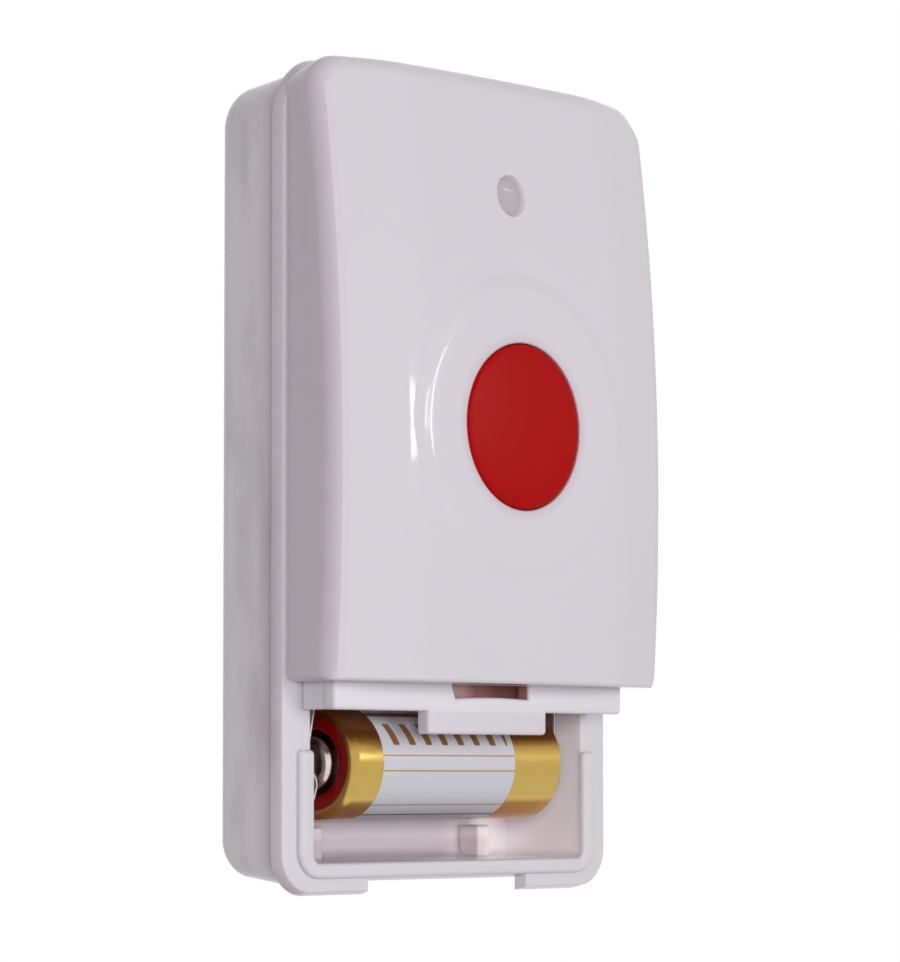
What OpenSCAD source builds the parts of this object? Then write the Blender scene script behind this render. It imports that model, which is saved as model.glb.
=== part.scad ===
// Wireless panic button: a wall case with a red push button and an open battery bay
// X runs to the right, Y into the wall and Z up, from the centre of the face on the wall

/* [Case] */
// Width over the flange
case_w = 43.4; // [42:0.1:50]
// Height over the flange
case_h = 75; // [73:0.5:85]
// Radius of the flange's corners
case_corner = 5.9; // [4:0.1:7]
// Thickness of the flange
flange_t = 1.3; // [1:0.1:2]
// Depth of the tray behind the flange
tray_d = 9.1; // [9.1:0.1:11]
// Step from the flange's edge in to the tray
tray_step = 1.1; // [0.8:0.1:1.5]
// Draw-in of the tray's sides over its depth
tray_draft = 0.9; // [0.4:0.1:1.2]
// Rounding of the tray's rear edge
tray_round = 2.4; // [1:0.1:2.6]
// Thickness of the floor against the wall
floor_t = 1; // [0.8:0.1:1.5]
// Thickness of the tray's side walls
wall_t = 1.5; // [1:0.1:2]
// Distance of a case pillar's middle from the end of the cavity
pillar_end = 5.15; // [4:0.05:6]
// Diameter of the case pillars
pillar_d = 6; // [5.5:0.1:6.5]

/* [Front cover] */
// Step from the flange's side edges in to the foot of the cover
cover_step = 0.85; // [0.4:0.05:1]
// Step from the flange's upper edge down to the cover's front
top_step = 0.1; // [0.05:0.05:1]
// How far the cover's walls lean out from their foot to the front
cover_lean = 0.85; // [0.2:0.05:1]
// Depth from the flange to the crown of the front
cover_d = 9.1; // [8.8:0.1:11]
// Radius of the front's upright curve
crown_r = 250; // [200:5:400]
// Width of the flat panel down the middle
panel_w = 27.2; // [26:0.1:30]
// How far the bands beside the panel fall back
side_fall = 2.1; // [1.4:0.1:2.4]
// Radius of the cover's upper corners
cover_corner = 5; // [3:0.5:7]
// Rounding of the cover's front edges at its sides
cover_round = 0.6; // [0.4:0.1:1.8]
// Rounding of the cover's front edge at the top
top_round = 2; // [1:0.1:2.5]
// Height of the cover's lower edge over the case's lower edge
cover_low = 18.9; // [18.5:0.1:20]
// Wall of the cover
cover_wall = 1.5; // [1.2:0.1:1.8]

/* [Button] */
// Height of the button over the middle of the case
button_rise = 4.7; // [2:0.1:7]
// Diameter of the button
button_d = 15; // [13:0.1:16]
// Gap round the button
button_gap = 0.2; // [0.15:0.05:0.3]
// Diameter of the flat pad round the button
pad_d = 26; // [24:0.1:27]
// Rise of the pad over the panel at the button's height
pad_rise = 0.2; // [0.15:0.05:0.4]
// Width of the pad's sloping rim
pad_rim = 1.4; // [0.8:0.1:1.8]
// Thickness of the cover at the pad
pad_t = 2.8; // [2.4:0.1:3.2]
// Depth of the button's edge below the pad
button_sunk = 0.35; // [0.2:0.05:0.5]
// Travel of the button
button_travel = 0.5; // [0.3:0.1:0.6]
// Rise of the button's face in its middle
button_crown = 0.15; // [0.1:0.05:0.5]

/* [Signal lamp] */
// Distance of the lamp's dimple below the case's upper edge
lamp_drop = 11.5; // [10:0.1:14]
// Diameter of the dimple
dimple_d = 3.8; // [3:0.1:4.5]
// Depth of the dimple
dimple_deep = 0.9; // [0.5:0.1:1]
// Diameter of the lamp
lamp_d = 3; // [2.5:0.1:3.2]
// Height of the lamp over the board
lamp_h = 6.2; // [5:0.1:6.4]

/* [Battery bay] */
// Height of the bay's lower wall over the case's lower edge
bay_low = 2.9; // [2.6:0.1:3.2]
// Height of the bay's roof over the case's lower edge
bay_high = 17.7; // [17.5:0.1:18]
// Width of the raised lip round the bay
lip_w = 1.4; // [0.8:0.1:1.6]
// Height of the lip over the flange
lip_h = 0.75; // [0.4:0.05:1]
// Height of the lip's upper ends over the case's lower edge
lip_top = 12.9; // [11:0.1:14]
// Width of the notch in the lower edge
notch_w = 20.7; // [16:0.1:24]
// Depth of the notch in the lower edge
notch_h = 1.2; // [0.8:0.1:1.6]
// Sideways shift of the notch
notch_shift = -0.65; // [-1:0.05:1]
// Width of the ledge strip under the cover
strip_w = 38.6; // [37:0.1:39]
// Height of the strip's lower edge over the case's lower edge
strip_low = 16.4; // [16:0.1:17]
// How far the strip stands off the flange
strip_d = 4.2; // [3.5:0.1:5]
// Width of the tongue that holds the bay's door
tongue_w = 15.9; // [12:0.1:20]
// Height of the tongue's lower edge over the case's lower edge
tongue_low = 14.35; // [14.2:0.05:15]
// Width of the slot over the tongue
slot_w = 10.4; // [6:0.1:12]
// Height of the slot
slot_h = 1.25; // [0.8:0.05:1.4]
// Sideways shift of the tongue
tongue_shift = 0.7; // [-1:0.1:1]
// Sideways shift of the slot from the tongue's middle
slot_shift = 0.4; // [-0.5:0.1:0.5]

/* [Battery] */
// Diameter of the battery
battery_d = 10.3; // [10:0.1:10.4]
// Length of the battery over its positive cap
battery_l = 28.9; // [28:0.1:29]
// Sideways shift of the battery
battery_shift = -0.05; // [-0.2:0.05:0.3]
// Height of the battery's axis over the case's lower edge
battery_up = 11.75; // [11.7:0.01:11.8]
// Gap between the battery and the floor
battery_gap = 0.2; // [0.15:0.05:0.4]
// Length of the white label
label_l = 17.6; // [12:0.1:19]
// Length of the gold band at the positive end
band_l = 3.75; // [2:0.05:5]
// Diameter of the positive cap
cap_d = 5; // [4.5:0.1:5.6]
// Height of the positive cap over the can
cap_h = 0.85; // [0.5:0.05:1.2]
// Thickness of the contact strip
contact_t = 0.3; // [0.2:0.05:0.35]
// Width of the contact strips
contact_w = 3.6; // [3:0.1:4]
// Wire of the negative spring
spring_wire = 0.45; // [0.35:0.05:0.5]
// Turns of the negative spring
spring_turns = 2.75; // [2.25:0.25:2.75]
// Gap between a contact and the battery
contact_gap = 0.15; // [0.1:0.05:0.2]

/* [Board] */
// Thickness of the circuit board
board_t = 1.2; // [1:0.1:1.6]
// Height of the board's posts
post_h = 6.6; // [6.4:0.1:6.8]
// Gap round the board
board_gap = 0.7; // [0.5:0.1:1]
// Side of the switch
switch_w = 6; // [5.8:0.1:6.4]
// Height of the switch's base
switch_base_h = 3.2; // [3:0.1:3.6]
// Height of the switch over the board
switch_h = 5; // [4.8:0.1:5.2]

/* [Fasteners] */
// Diameter of the case screws
screw_d = 1.85; // [1.6:0.05:2]
// Diameter of the case screws' heads
screw_head_d = 4.2; // [3.8:0.1:4.4]
// Height of a screw's head
screw_head_h = 1.4; // [1:0.1:1.6]
// Length of a case screw under its head
screw_l = 11.5; // [10.5:0.1:12]
// Diameter of the wall screw holes
wall_hole_d = 3.6; // [3:0.1:4.2]
// Distance between the wall screw holes
wall_hole_pitch = 28; // [24:1:30]

/* [Hidden] */
$fn = 48;

// Cuts run this far past a face
past = 0.5;
// Pieces that grow out of a wall start this far inside it
sink = 0.1;
// No rounding is smaller than this
least_round = 0.3;
// A screw's hole is wider than the screw by this much all round
screw_clear = 0.3;
// Heights of the button and the lamp over the case's lower edge
button_up = case_h / 2 + button_rise;
lamp_up = case_h - lamp_drop;
// Levels along Y
flange_back = -tray_d;
flange_front = -(tray_d + flange_t);
crown_y = flange_front - cover_d;
floor_y = -floor_t;
board_back = -(floor_t + post_h);
board_front = board_back - board_t;
// Sizes of the cavity in the tray
cavity_in = tray_step + tray_draft + wall_t;
cavity_w = case_w - 2 * cavity_in;
cavity_top = case_h - cavity_in;
cavity_corner = 2;
bay_round = 0.8;
roof_t = wall_t;
roof_top = bay_high + roof_t;
// Sizes of the cover
cover_w = case_w - 2 * cover_step + 2 * cover_lean;
cover_top = case_h - top_step;
// Places of the case pillars
pillar_in = 0.4;
pillar_x = cavity_w / 2 - pillar_d / 2 - pillar_in;
pillar_mid = (roof_top + cavity_top) / 2;
pillar_low = roof_top + pillar_end;
pillar_high = cavity_top - pillar_end;
head_recess = 2.2;
cover_pillar_d = 5.4;
pilot_clear = 0.05;
pilot_d = screw_d + 2 * pilot_clear;
// Board
board_w = cavity_w - 2 * board_gap;
board_low = roof_top + board_gap;
board_high = cavity_top - board_gap;
board_screw_in = 2.2;
board_screw_rise = 1.6;
board_screw_x = pillar_x - board_screw_in;
board_screw_up = pillar_mid + board_screw_rise;
board_screw_grip = 4;
board_head_d = 3.8;
board_head_h = 1.2;
// Battery
battery_y = -(floor_t + battery_gap + battery_d / 2);
battery_end = battery_shift + battery_l / 2;
battery_tip = battery_shift - battery_l / 2;
can_end = battery_tip + cap_h;
sleeve_t = 0.2;
label_t = 0.1;
// Contacts
negative_x = cavity_w / 2 - contact_t;
spring_r_wall = 1.9;
spring_r_tip = 1.5;
tab_w = 2;
// Button
panel_at_button = crown_y + crown(button_up);
pad_front = panel_at_button - pad_rise;
pad_back = pad_front + pad_t;
pad_foot = crown_y + crown(button_up + pad_d / 2 + pad_rim) + past;
collar_gap = 0.12;
collar_t = 0.8;
collar_w = 1.3;
plunger_tip = board_front - switch_h;

// Height over the case's lower edge, turned into Z
function up(h) = h - case_h / 2;
// How far the front lies behind its crown at a height
function crown(h) = let (d = h - case_h / 2) crown_r - sqrt(crown_r * crown_r - d * d);
// How far a point lies down a round edge of radius r, a distance d past where the edge starts
function round_fall(d, r) = d <= 0 ? 0 : r - sqrt(max(0, r * r - d * d));

// A stack of closed outlines with the same number of points, skinned into one solid
module skin(rings) {
    n = len(rings[0]);
    last = len(rings) - 1;
    points = [for (ring = rings) each ring];
    sides = [for (k = [0 : last - 1], i = [0 : n - 1])
        each [[k * n + i, k * n + (i + 1) % n, (k + 1) * n + i],
              [k * n + (i + 1) % n, (k + 1) * n + (i + 1) % n, (k + 1) * n + i]]];
    caps = [[for (i = [n - 1 : -1 : 0]) i], [for (i = [0 : n - 1]) last * n + i]];
    polyhedron(points, concat(sides, caps), convexity = 6);
}

// A rounded rectangle in X and Z, drawn as an extruded plate from y0 to y1
module plate(w, low, high, r, y0, y1) {
    translate([0, y1, 0])
        rotate([90, 0, 0])
            linear_extrude(y1 - y0)
                rounded(w, low, high, r);
}

module rounded(w, low, high, r) {
    translate([0, up(low)]) {
        translate([-w / 2 + r, 0])
            square([w - 2 * r, high - low]);
        translate([-w / 2, r])
            square([w, high - low - 2 * r]);
        for (x = [-w / 2 + r, w / 2 - r], z = [r, high - low - r])
            translate([x, z])
                circle(r);
    }
}

// A round bar along Y from y0 to y1
module bar(x, h, d, y0, y1) {
    translate([x, y0, up(h)])
        rotate([-90, 0, 0])
            cylinder(h = y1 - y0, d = d);
}

// A round shape about the Y axis at the button's place: outline in [radius, y]
module turned(x, h, outline) {
    translate([x, 0, up(h)])
        rotate([-90, 0, 0])
            rotate_extrude()
                polygon(outline);
}

module block(x0, x1, y0, y1, low, high) {
    translate([x0, y0, up(low)])
        cube([x1 - x0, y1 - y0, high - low]);
}

// A bent strip in X and height, of width w along Y about the level y
module bent_strip(points, t, y, w) {
    translate([0, y + w / 2, 0])
        rotate([90, 0, 0])
            linear_extrude(w) {
                for (i = [0 : len(points) - 2])
                    let (a = points[i], b = points[i + 1], d = b - a)
                        translate([a[0], up(a[1])])
                            rotate(atan2(d[1], d[0]))
                                translate([0, -t / 2])
                                    square([norm(d), t]);
                for (i = [1 : len(points) - 2])
                    translate([points[i][0], up(points[i][1])])
                        circle(d = t);
            }
}

// A round shape about the battery's axis: outline in [radius, x]
module about_battery(outline) {
    translate([0, battery_y, up(battery_up)])
        rotate([0, 90, 0])
            rotate_extrude()
                polygon(outline);
}

// Back case: flange, drafted tray, battery bay, pillars and posts
function tray_ring(depth, inset) =
    let (w = case_w / 2 - tray_step - inset,
         h = case_h / 2 - tray_step - inset,
         r = max(least_round, case_corner - tray_step - inset))
    [for (q = [0 : 3], a = [0 : 15 : 90])
        let (sx = (q == 0 || q == 3) ? 1 : -1, sz = q < 2 ? 1 : -1, t = q * 90 + a)
        [sx * (w - r) + r * cos(t), flange_back + depth, sz * (h - r) + r * sin(t)]];

module tray_outside() {
    straight = tray_d - tray_round;
    skin(concat(
        [tray_ring(-flange_t / 2, 0), tray_ring(0, 0)],
        [for (a = [0 : 15 : 90])
            tray_ring(straight + tray_round * sin(a), tray_draft + tray_round * (1 - cos(a)))]));
}

module case_cavities() {
    plate(cavity_w, roof_top, cavity_top, cavity_corner, flange_front - past, floor_y);
    plate(cavity_w, bay_low, bay_high, bay_round, flange_front - past, floor_y);
}

module bay_lip() {
    lip_corner = 2.6;
    translate([0, flange_front, 0])
        rotate([90, 0, 0])
            linear_extrude(lip_h)
                difference() {
                    rounded(cavity_w + 2 * lip_w, bay_low - lip_w, bay_high + lip_w, lip_corner);
                    rounded(cavity_w, bay_low, bay_high, bay_round);
                    translate([-case_w / 2, up(lip_top)])
                        square([case_w, case_h]);
                }
}

// Ribs that stand on the floor under the battery
module bay_ribs() {
    rib_t = 1.25;
    rib_h = 2.6;
    rib_top = 6;
    rib_x = 11.4;
    rib_shift = 1.1;
    for (x = [-rib_x, rib_x])
        block(rib_shift + x - rib_t / 2, rib_shift + x + rib_t / 2,
              floor_y - rib_h, floor_y + sink, bay_low - sink, rib_top);
}

// Sloping corner between the bay's lower wall and its floor
module bay_corner() {
    corner = 1;
    translate([-cavity_w / 2 - sink, 0, up(bay_low)])
        rotate([90, 0, 90])
            linear_extrude(cavity_w + 2 * sink)
                polygon([[floor_y + sink, -sink], [floor_y + sink, corner], [floor_y, corner],
                         [floor_y - corner, 0], [floor_y - corner, -sink]]);
}

module pillar_places() {
    for (x = [-pillar_x, pillar_x], h = [pillar_low, pillar_high])
        translate([x, 0, up(h)])
            children();
}

// Webs that tie the pillars to the tray's sides
module pillar_webs() {
    web_t = 1.2;
    for (s = [0, 1], h = [pillar_low, pillar_high])
        mirror([s, 0, 0])
            block(pillar_x, cavity_w / 2 + wall_t / 2, flange_front, floor_y + floor_t / 2,
                  h - web_t / 2, h + web_t / 2);
}

module board_screw_places() {
    for (x = [-board_screw_x, board_screw_x])
        translate([x, 0, up(board_screw_up)])
            children();
}

// Round bar along Y at the origin's X and Z
module post(d, y0, y1) {
    translate([0, y0, 0])
        rotate([-90, 0, 0])
            cylinder(h = y1 - y0, d = d);
}

module back_case() {
    slot_clear = 0.25;
    post_d = 5;
    board_pilot_l = 4.5;
    color([0.84, 0.82, 0.85])
        difference() {
            union() {
                difference() {
                    union() {
                        tray_outside();
                        plate(case_w, 0, case_h, case_corner, flange_front, flange_back);
                    }
                    case_cavities();
                }
                bay_lip();
                bay_ribs();
                bay_corner();
                pillar_places()
                    post(pillar_d, flange_front, floor_y + floor_t / 2);
                pillar_webs();
                board_screw_places()
                    post(post_d, board_back, floor_y + floor_t / 2);
            }
            block(notch_shift - notch_w / 2, notch_shift + notch_w / 2, flange_front - lip_h - past, flange_back,
                  -past, notch_h);
            pillar_places() {
                post(screw_d + 2 * screw_clear, flange_front - past, past);
                post(screw_head_d + 2 * screw_clear, -head_recess, past);
            }
            board_screw_places()
                post(pilot_d, board_back - past, board_back + board_pilot_l);
            for (z = [-wall_hole_pitch / 2, wall_hole_pitch / 2])
                translate([0, 0, z])
                    post(wall_hole_d, floor_y - past, past);
            positive_slot(slot_clear);
            negative_slot(slot_clear);
        }
}

// Front cover: crowned shell with the flat pad, button hole, lamp dimple, strip and tongue
function cover_ring(h, half, t) =
    let (r = max(least_round, cover_round - t / 2),
         over = max(least_round, top_round - t / 2),
         p = min(panel_w / 2, half - r - sink),
         fall = crown(h) + round_fall(h - (cover_top - t - over), over),
         front = crown_y + t + fall,
         slope = side_fall / (cover_w / 2 - panel_w / 2),
         band = function (x) front + slope * max(0, x - panel_w / 2),
         base = flange_front + (t > 0 ? past : 0),
         edge = [for (a = [0 : 22.5 : 90])
             [half - r + r * cos(a), min(base - sink, band(half - r) + r - r * sin(a))]])
    [for (q = concat([[half - cover_lean, base]], edge, [[p, band(p)], [-p, band(p)]],
                     [for (i = [len(edge) - 1 : -1 : 0]) [-edge[i][0], edge[i][1]]],
                     [[cover_lean - half, base]]))
        [q[0], q[1], up(h)]];

// All that lies under the cover's leaning top wall
module under_top(t) {
    rim = crown_y + crown(cover_top) + top_round;
    slope = cover_lean / (flange_front - rim);
    high = function (y) up(cover_top - t) - slope * (y - rim);
    front = crown_y - past;
    back = flange_front + 2 * past;
    rotate([90, 0, 90])
        linear_extrude(case_w + 2 * past, center = true)
            polygon([[front, up(0)], [back, up(0)], [back, high(back)], [front, high(front)]]);
}

module cover_body(low, t) {
    r = cover_corner - t;
    half = cover_w / 2 - t;
    corner_start = cover_top - t - r;
    steps = 12;
    intersection() {
        skin(concat(
            [for (k = [0 : steps - 1])
                cover_ring(low + (corner_start - low) * k / steps, half, t)],
            [for (a = [0 : 10 : 90])
                cover_ring(corner_start + r * sin(a), half - r + r * cos(a), t)]));
        under_top(t);
    }
}

// The stepped ledge under the cover, open below and behind
module cover_strip() {
    strip_front = flange_front - strip_d;
    strip_wall = 1.4;
    side_t = (strip_w - cavity_w) / 2;
    block(-strip_w / 2, strip_w / 2, strip_front, strip_front + strip_wall, strip_low, cover_low + sink);
    for (x = [-strip_w / 2, strip_w / 2 - side_t])
        block(x, x + side_t, strip_front, flange_front, strip_low, cover_low + sink);
    block(tongue_shift - tongue_w / 2, tongue_shift + tongue_w / 2,
          strip_front, strip_front + strip_wall, tongue_low, strip_low + sink);
}

module front_cover() {
    slot_below = 0.05;
    slot_x = tongue_shift + slot_shift;
    lamp_wall = 0.6;
    lamp_panel = crown_y + crown(lamp_up);
    shade_wall = 1;
    shade_d = lamp_d + 2 * (screw_clear + shade_wall);
    shade_l = 2.2;
    color([0.84, 0.82, 0.85])
        difference() {
            union() {
                difference() {
                    cover_body(cover_low, 0);
                    cover_body(cover_low + cover_wall, cover_wall);
                }
                cover_strip();
                intersection() {
                    cover_body(cover_low, 0);
                    union() {
                        bar(0, button_up, pad_d + 2 * cover_wall, crown_y, pad_back);
                        bar(0, lamp_up, shade_d, crown_y, lamp_panel + cover_wall + shade_l);
                        pillar_places()
                            post(cover_pillar_d, crown_y, flange_front);
                    }
                }
                turned(0, button_up, [[0, pad_front], [pad_d / 2, pad_front], [pad_d / 2 + pad_rim, pad_foot],
                                      [0, pad_foot]]);
            }
            bar(0, button_up, button_d + 2 * button_gap, pad_front - past, pad_back + past);
            bar(0, lamp_up, dimple_d, crown_y - past, lamp_panel + dimple_deep);
            bar(0, lamp_up, lamp_d + 2 * screw_clear, lamp_panel + dimple_deep + lamp_wall, flange_front);
            block(slot_x - slot_w / 2, slot_x + slot_w / 2,
                  flange_front - strip_d - past, flange_front - past,
                  cover_low - slot_below - slot_h, cover_low - slot_below);
            pillar_places()
                post(pilot_d, -(head_recess + screw_l + past), flange_front + past);
        }
}

// Pan head screw along -Y with its seat at y = 0
module pan_screw(d, l, head_d, head_h) {
    slot_t = 0.6;
    difference() {
        rotate([-90, 0, 0])
            rotate_extrude()
                polygon([[0, -l], [d * 0.25, -l], [d / 2, -l + d * 0.6], [d / 2, 0], [head_d / 2, 0],
                         [head_d / 2, head_h * 0.45], [head_d * 0.4, head_h * 0.8],
                         [head_d * 0.24, head_h], [0, head_h]]);
        for (a = [0, 90])
            rotate([0, a, 0])
                translate([-head_d * 0.3, head_h * 0.35, -slot_t / 2])
                    cube([head_d * 0.6, head_h, slot_t]);
    }
}

module case_screws() {
    color([0.62, 0.62, 0.64])
        pillar_places()
            translate([0, -head_recess, 0])
                pan_screw(screw_d, screw_l, screw_head_d, screw_head_h);
}

// Button: red cap with its collar behind the cover and its stem on the switch
module button_cap() {
    r = button_d / 2;
    rim = 0.5;
    face = pad_front + button_sunk;
    collar_y = pad_back + collar_gap;
    stem_d = 3.6;
    color([0.67, 0.08, 0.09])
        turned(0, button_up, concat(
            [[0, face - button_crown]],
            [for (k = [1 : 6])
                let (x = (r - rim) * k / 6)
                [x, face - button_crown * (1 - pow(x / (r - rim), 2))]],
            [for (a = [30 : 30 : 90]) [r - rim + rim * sin(a), face + rim - rim * cos(a)]],
            [[r, collar_y], [r + collar_w, collar_y], [r + collar_w, collar_y + collar_t],
             [stem_d / 2, collar_y + collar_t], [stem_d / 2, plunger_tip], [0, plunger_tip]]));
}

// Switch: base, steel frame, plunger, snap dome and legs
switch_pocket = 4.8;
pocket_floor = 0.8;
frame_t = 0.3;
plunger_d = 3.3;
foot_d = 4.3;
foot_t = 0.5;
foot_gap = 0.1;
dome_h = button_travel;
dome_t = 0.12;
dome_clear = 0.15;
plunger_clear = 0.15;
plunger_rest = 0.03;

module switch_base() {
    color([0.12, 0.12, 0.13])
        difference() {
            block(-switch_w / 2, switch_w / 2, board_front - switch_base_h, board_front,
                  button_up - switch_w / 2, button_up + switch_w / 2);
            bar(0, button_up, switch_pocket, board_front - switch_base_h - past, board_front - pocket_floor);
        }
}

module switch_frame() {
    color([0.75, 0.75, 0.77])
        difference() {
            block(-switch_w / 2, switch_w / 2, board_front - switch_base_h - frame_t,
                  board_front - switch_base_h, button_up - switch_w / 2, button_up + switch_w / 2);
            bar(0, button_up, plunger_d + 2 * plunger_clear, board_front - switch_h,
                board_front - switch_base_h + past);
        }
}

module switch_plunger() {
    foot_y = board_front - switch_base_h + foot_gap;
    nub_d = 2;
    nub_y = board_front - pocket_floor - dome_h - dome_t - plunger_rest;
    color([0.15, 0.15, 0.16])
        turned(0, button_up, [[0, plunger_tip], [plunger_d / 2, plunger_tip], [plunger_d / 2, foot_y],
                              [foot_d / 2, foot_y], [foot_d / 2, foot_y + foot_t],
                              [nub_d / 2, foot_y + foot_t], [nub_d / 2, nub_y], [0, nub_y]]);
}

module switch_dome() {
    r = switch_pocket / 2 - dome_clear;
    rise = function (x) dome_h * (1 - pow(x / r, 2));
    base = board_front - pocket_floor;
    steps = 6;
    color([0.8, 0.8, 0.8])
        turned(0, button_up, concat(
            [for (k = [0 : steps]) [r * k / steps, base - rise(r * k / steps) - dome_t]],
            [for (k = [steps : -1 : 0]) [r * k / steps, base - rise(r * k / steps)]]));
}

module switch_legs() {
    leg_l = 1.6;
    leg_t = 0.3;
    leg_w = 0.7;
    leg_h = 1.4;
    leg_x = 2.25;
    color([0.78, 0.78, 0.8])
        for (x = [-leg_x, leg_x], s = [-1, 1])
            translate([x - leg_w / 2, 0, up(button_up + s * switch_w / 2)])
                mirror([0, 0, s > 0 ? 0 : 1]) {
                    translate([0, board_front - leg_t, 0])
                        cube([leg_w, leg_t, leg_l]);
                    translate([0, board_front - leg_h, 0])
                        cube([leg_w, leg_h, leg_t]);
                }
}

// Circuit board and what it carries
module circuit_board() {
    color([0.1, 0.35, 0.2])
        difference() {
            plate(board_w, board_low, board_high, cavity_corner, board_front, board_back);
            pillar_places()
                post(pillar_d + 2 * screw_clear, board_front - past, board_back + past);
            board_screw_places()
                post(screw_d + 2 * screw_clear, board_front - past, board_back + past);
        }
}

module board_screws() {
    color([0.62, 0.62, 0.64])
        board_screw_places()
            translate([0, board_front, 0])
                rotate([0, 0, 180])
                    pan_screw(screw_d, board_t + board_screw_grip, board_head_d, board_head_h);
}

chip_in = 6.2;
chip_drop = 7.5;
chip_x = -(pillar_x - chip_in);
chip_up = lamp_up - chip_drop;
chip_w = 3.9;
chip_l = 8.7;
chip_h = 1.5;
chip_stand = 0.15;
chip_pitch = 1.27;
chip_mark_d = 0.7;
chip_mark_in = 1;
chip_mark_deep = 0.15;

module encoder_chip() {
    color([0.08, 0.08, 0.08])
        difference() {
            block(chip_x - chip_w / 2, chip_x + chip_w / 2, board_front - chip_stand - chip_h,
                  board_front - chip_stand, chip_up - chip_l / 2, chip_up + chip_l / 2);
            bar(chip_x - chip_w / 2 + chip_mark_in, chip_up + chip_l / 2 - chip_mark_in, chip_mark_d,
                board_front - chip_stand - chip_h - past,
                board_front - chip_stand - chip_h + chip_mark_deep);
        }
}

// A bent lead, out from x = 0 and down to the board
module lead(w, reach, rise) {
    t = 0.2;
    translate([0, board_front - rise, -w / 2]) {
        cube([reach / 2, t, w]);
        translate([reach / 2 - t, 0, 0])
            cube([t, rise, w]);
        translate([reach / 2 - t, rise - t, 0])
            cube([reach / 2 + t, t, w]);
    }
}

module chip_leads() {
    lead_w = 0.42;
    lead_l = 1.05;
    color([0.8, 0.8, 0.8])
        for (k = [-3 : 3], s = [0, 1])
            translate([chip_x, 0, up(chip_up + k * chip_pitch)])
                mirror([s, 0, 0])
                    translate([chip_w / 2, 0, 0])
                        lead(lead_w, lead_l, chip_stand + chip_h / 2);
}

module resonator_can() {
    rim_d = 9.2;
    rim_t = 0.5;
    shell_d = 8.2;
    shell_h = 3.2;
    shell_edge = 0.4;
    resonator_in = 6.6;
    y = board_front;
    color([0.75, 0.75, 0.72])
        turned(pillar_x - resonator_in, chip_up,
               [[0, y], [rim_d / 2, y], [rim_d / 2, y - rim_t], [shell_d / 2, y - rim_t],
                [shell_d / 2, y - shell_h + shell_edge], [shell_d / 2 - shell_edge, y - shell_h],
                [0, y - shell_h]]);
}

transistor_out = 5.5;
transistor_drop = 4.2;
transistor_x = switch_w / 2 + transistor_out;
transistor_up = button_up - transistor_drop;
transistor_l = 2.9;
transistor_w = 1.3;
transistor_h = 1;
transistor_stand = 0.1;

module radio_transistor() {
    color([0.08, 0.08, 0.08])
        block(transistor_x - transistor_w / 2, transistor_x + transistor_w / 2,
              board_front - transistor_stand - transistor_h, board_front - transistor_stand,
              transistor_up - transistor_l / 2, transistor_up + transistor_l / 2);
}

module transistor_leads() {
    pitch = 0.95;
    lead_w = 0.4;
    lead_l = 0.9;
    color([0.8, 0.8, 0.8])
        for (p = [[0, -pitch], [0, pitch], [1, 0]])
            translate([transistor_x, 0, up(transistor_up + p[1])])
                mirror([p[0], 0, 0])
                    translate([transistor_w / 2, 0, 0])
                        lead(lead_w, lead_l, transistor_stand + transistor_h / 2);
}

// Rows of small parts over the lamp, each row from a pillar inwards
small_w = 1.25;
small_l = 2;
small_pitch = 2.4;
small_rise = 3;

module small_row(side, count, h) {
    first = pillar_x - pillar_d / 2 - 2 * screw_clear - small_w / 2;
    for (k = [0 : count - 1])
        let (x = side * (first - k * small_pitch))
            block(x - small_w / 2, x + small_w / 2, board_front - h, board_front,
                  lamp_up + small_rise - small_l / 2, lamp_up + small_rise + small_l / 2);
}

module chip_resistors() {
    resistor_h = 0.5;
    color([0.1, 0.1, 0.12])
        small_row(-1, 4, resistor_h);
}

module chip_capacitors() {
    capacitor_h = 0.9;
    color([0.7, 0.6, 0.45])
        small_row(1, 3, capacitor_h);
}

module antenna_track() {
    side_clear = 1;
    w = 2 * (pillar_x - pillar_d / 2 - screw_clear - side_clear);
    track = 1.4;
    t = 0.1;
    gap = 2;
    rise = 4;
    corner = 1.5;
    inner_corner = 0.5;
    low = board_low + rise;
    top_clear = 2.65;
    h = transistor_up - transistor_l / 2 - top_clear - low;
    color([0.75, 0.5, 0.25])
        difference() {
            plate(w, low, low + h, corner, board_front - t, board_front);
            plate(w - 2 * track, low + track, low + h - track, inner_corner,
                  board_front - t - past, board_front + past);
            block(-gap / 2, gap / 2, board_front - t - past, board_front + past,
                  low + h - track - past, low + h + past);
        }
}

// Signal lamp behind the dimple
lamp_stand = 1;

module lamp_lens() {
    collar = 0.4;
    collar_h = 1;
    r = lamp_d / 2;
    base = board_front - lamp_stand;
    tip = board_front - lamp_h;
    color([0.9, 0.25, 0.2])
        turned(0, lamp_up, concat(
            [[0, base], [r + collar, base], [r + collar, base - collar_h], [r, base - collar_h]],
            [for (a = [0 : 15 : 90]) [r * cos(a), tip + r - r * sin(a)]]));
}

module lamp_legs() {
    pitch = 2.54;
    t = 0.5;
    color([0.8, 0.8, 0.8])
        for (x = [-pitch / 2, pitch / 2])
            block(x - t / 2, x + t / 2, board_front - lamp_stand, board_front,
                  lamp_up - t / 2, lamp_up + t / 2);
}

// Contacts: bent leaf at the positive end, plate and coil at the negative end
leaf_x = battery_tip - contact_gap - contact_t / 2;
leaf_back = 0.4;
leaf_top = leaf_x - leaf_back;
// The leaf bows back by this share of the room between it and the bay's wall
bow_share = 11 / 30;
leaf_bow = bow_share * (leaf_top + cavity_w / 2);
leaf_bend = 0.25;
leaf_touch = 1.75;
leaf_tail = 1.6;
tail_back = 0.65;
contact_foot = 3.2;
roof_clear = 0.2;

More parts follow.
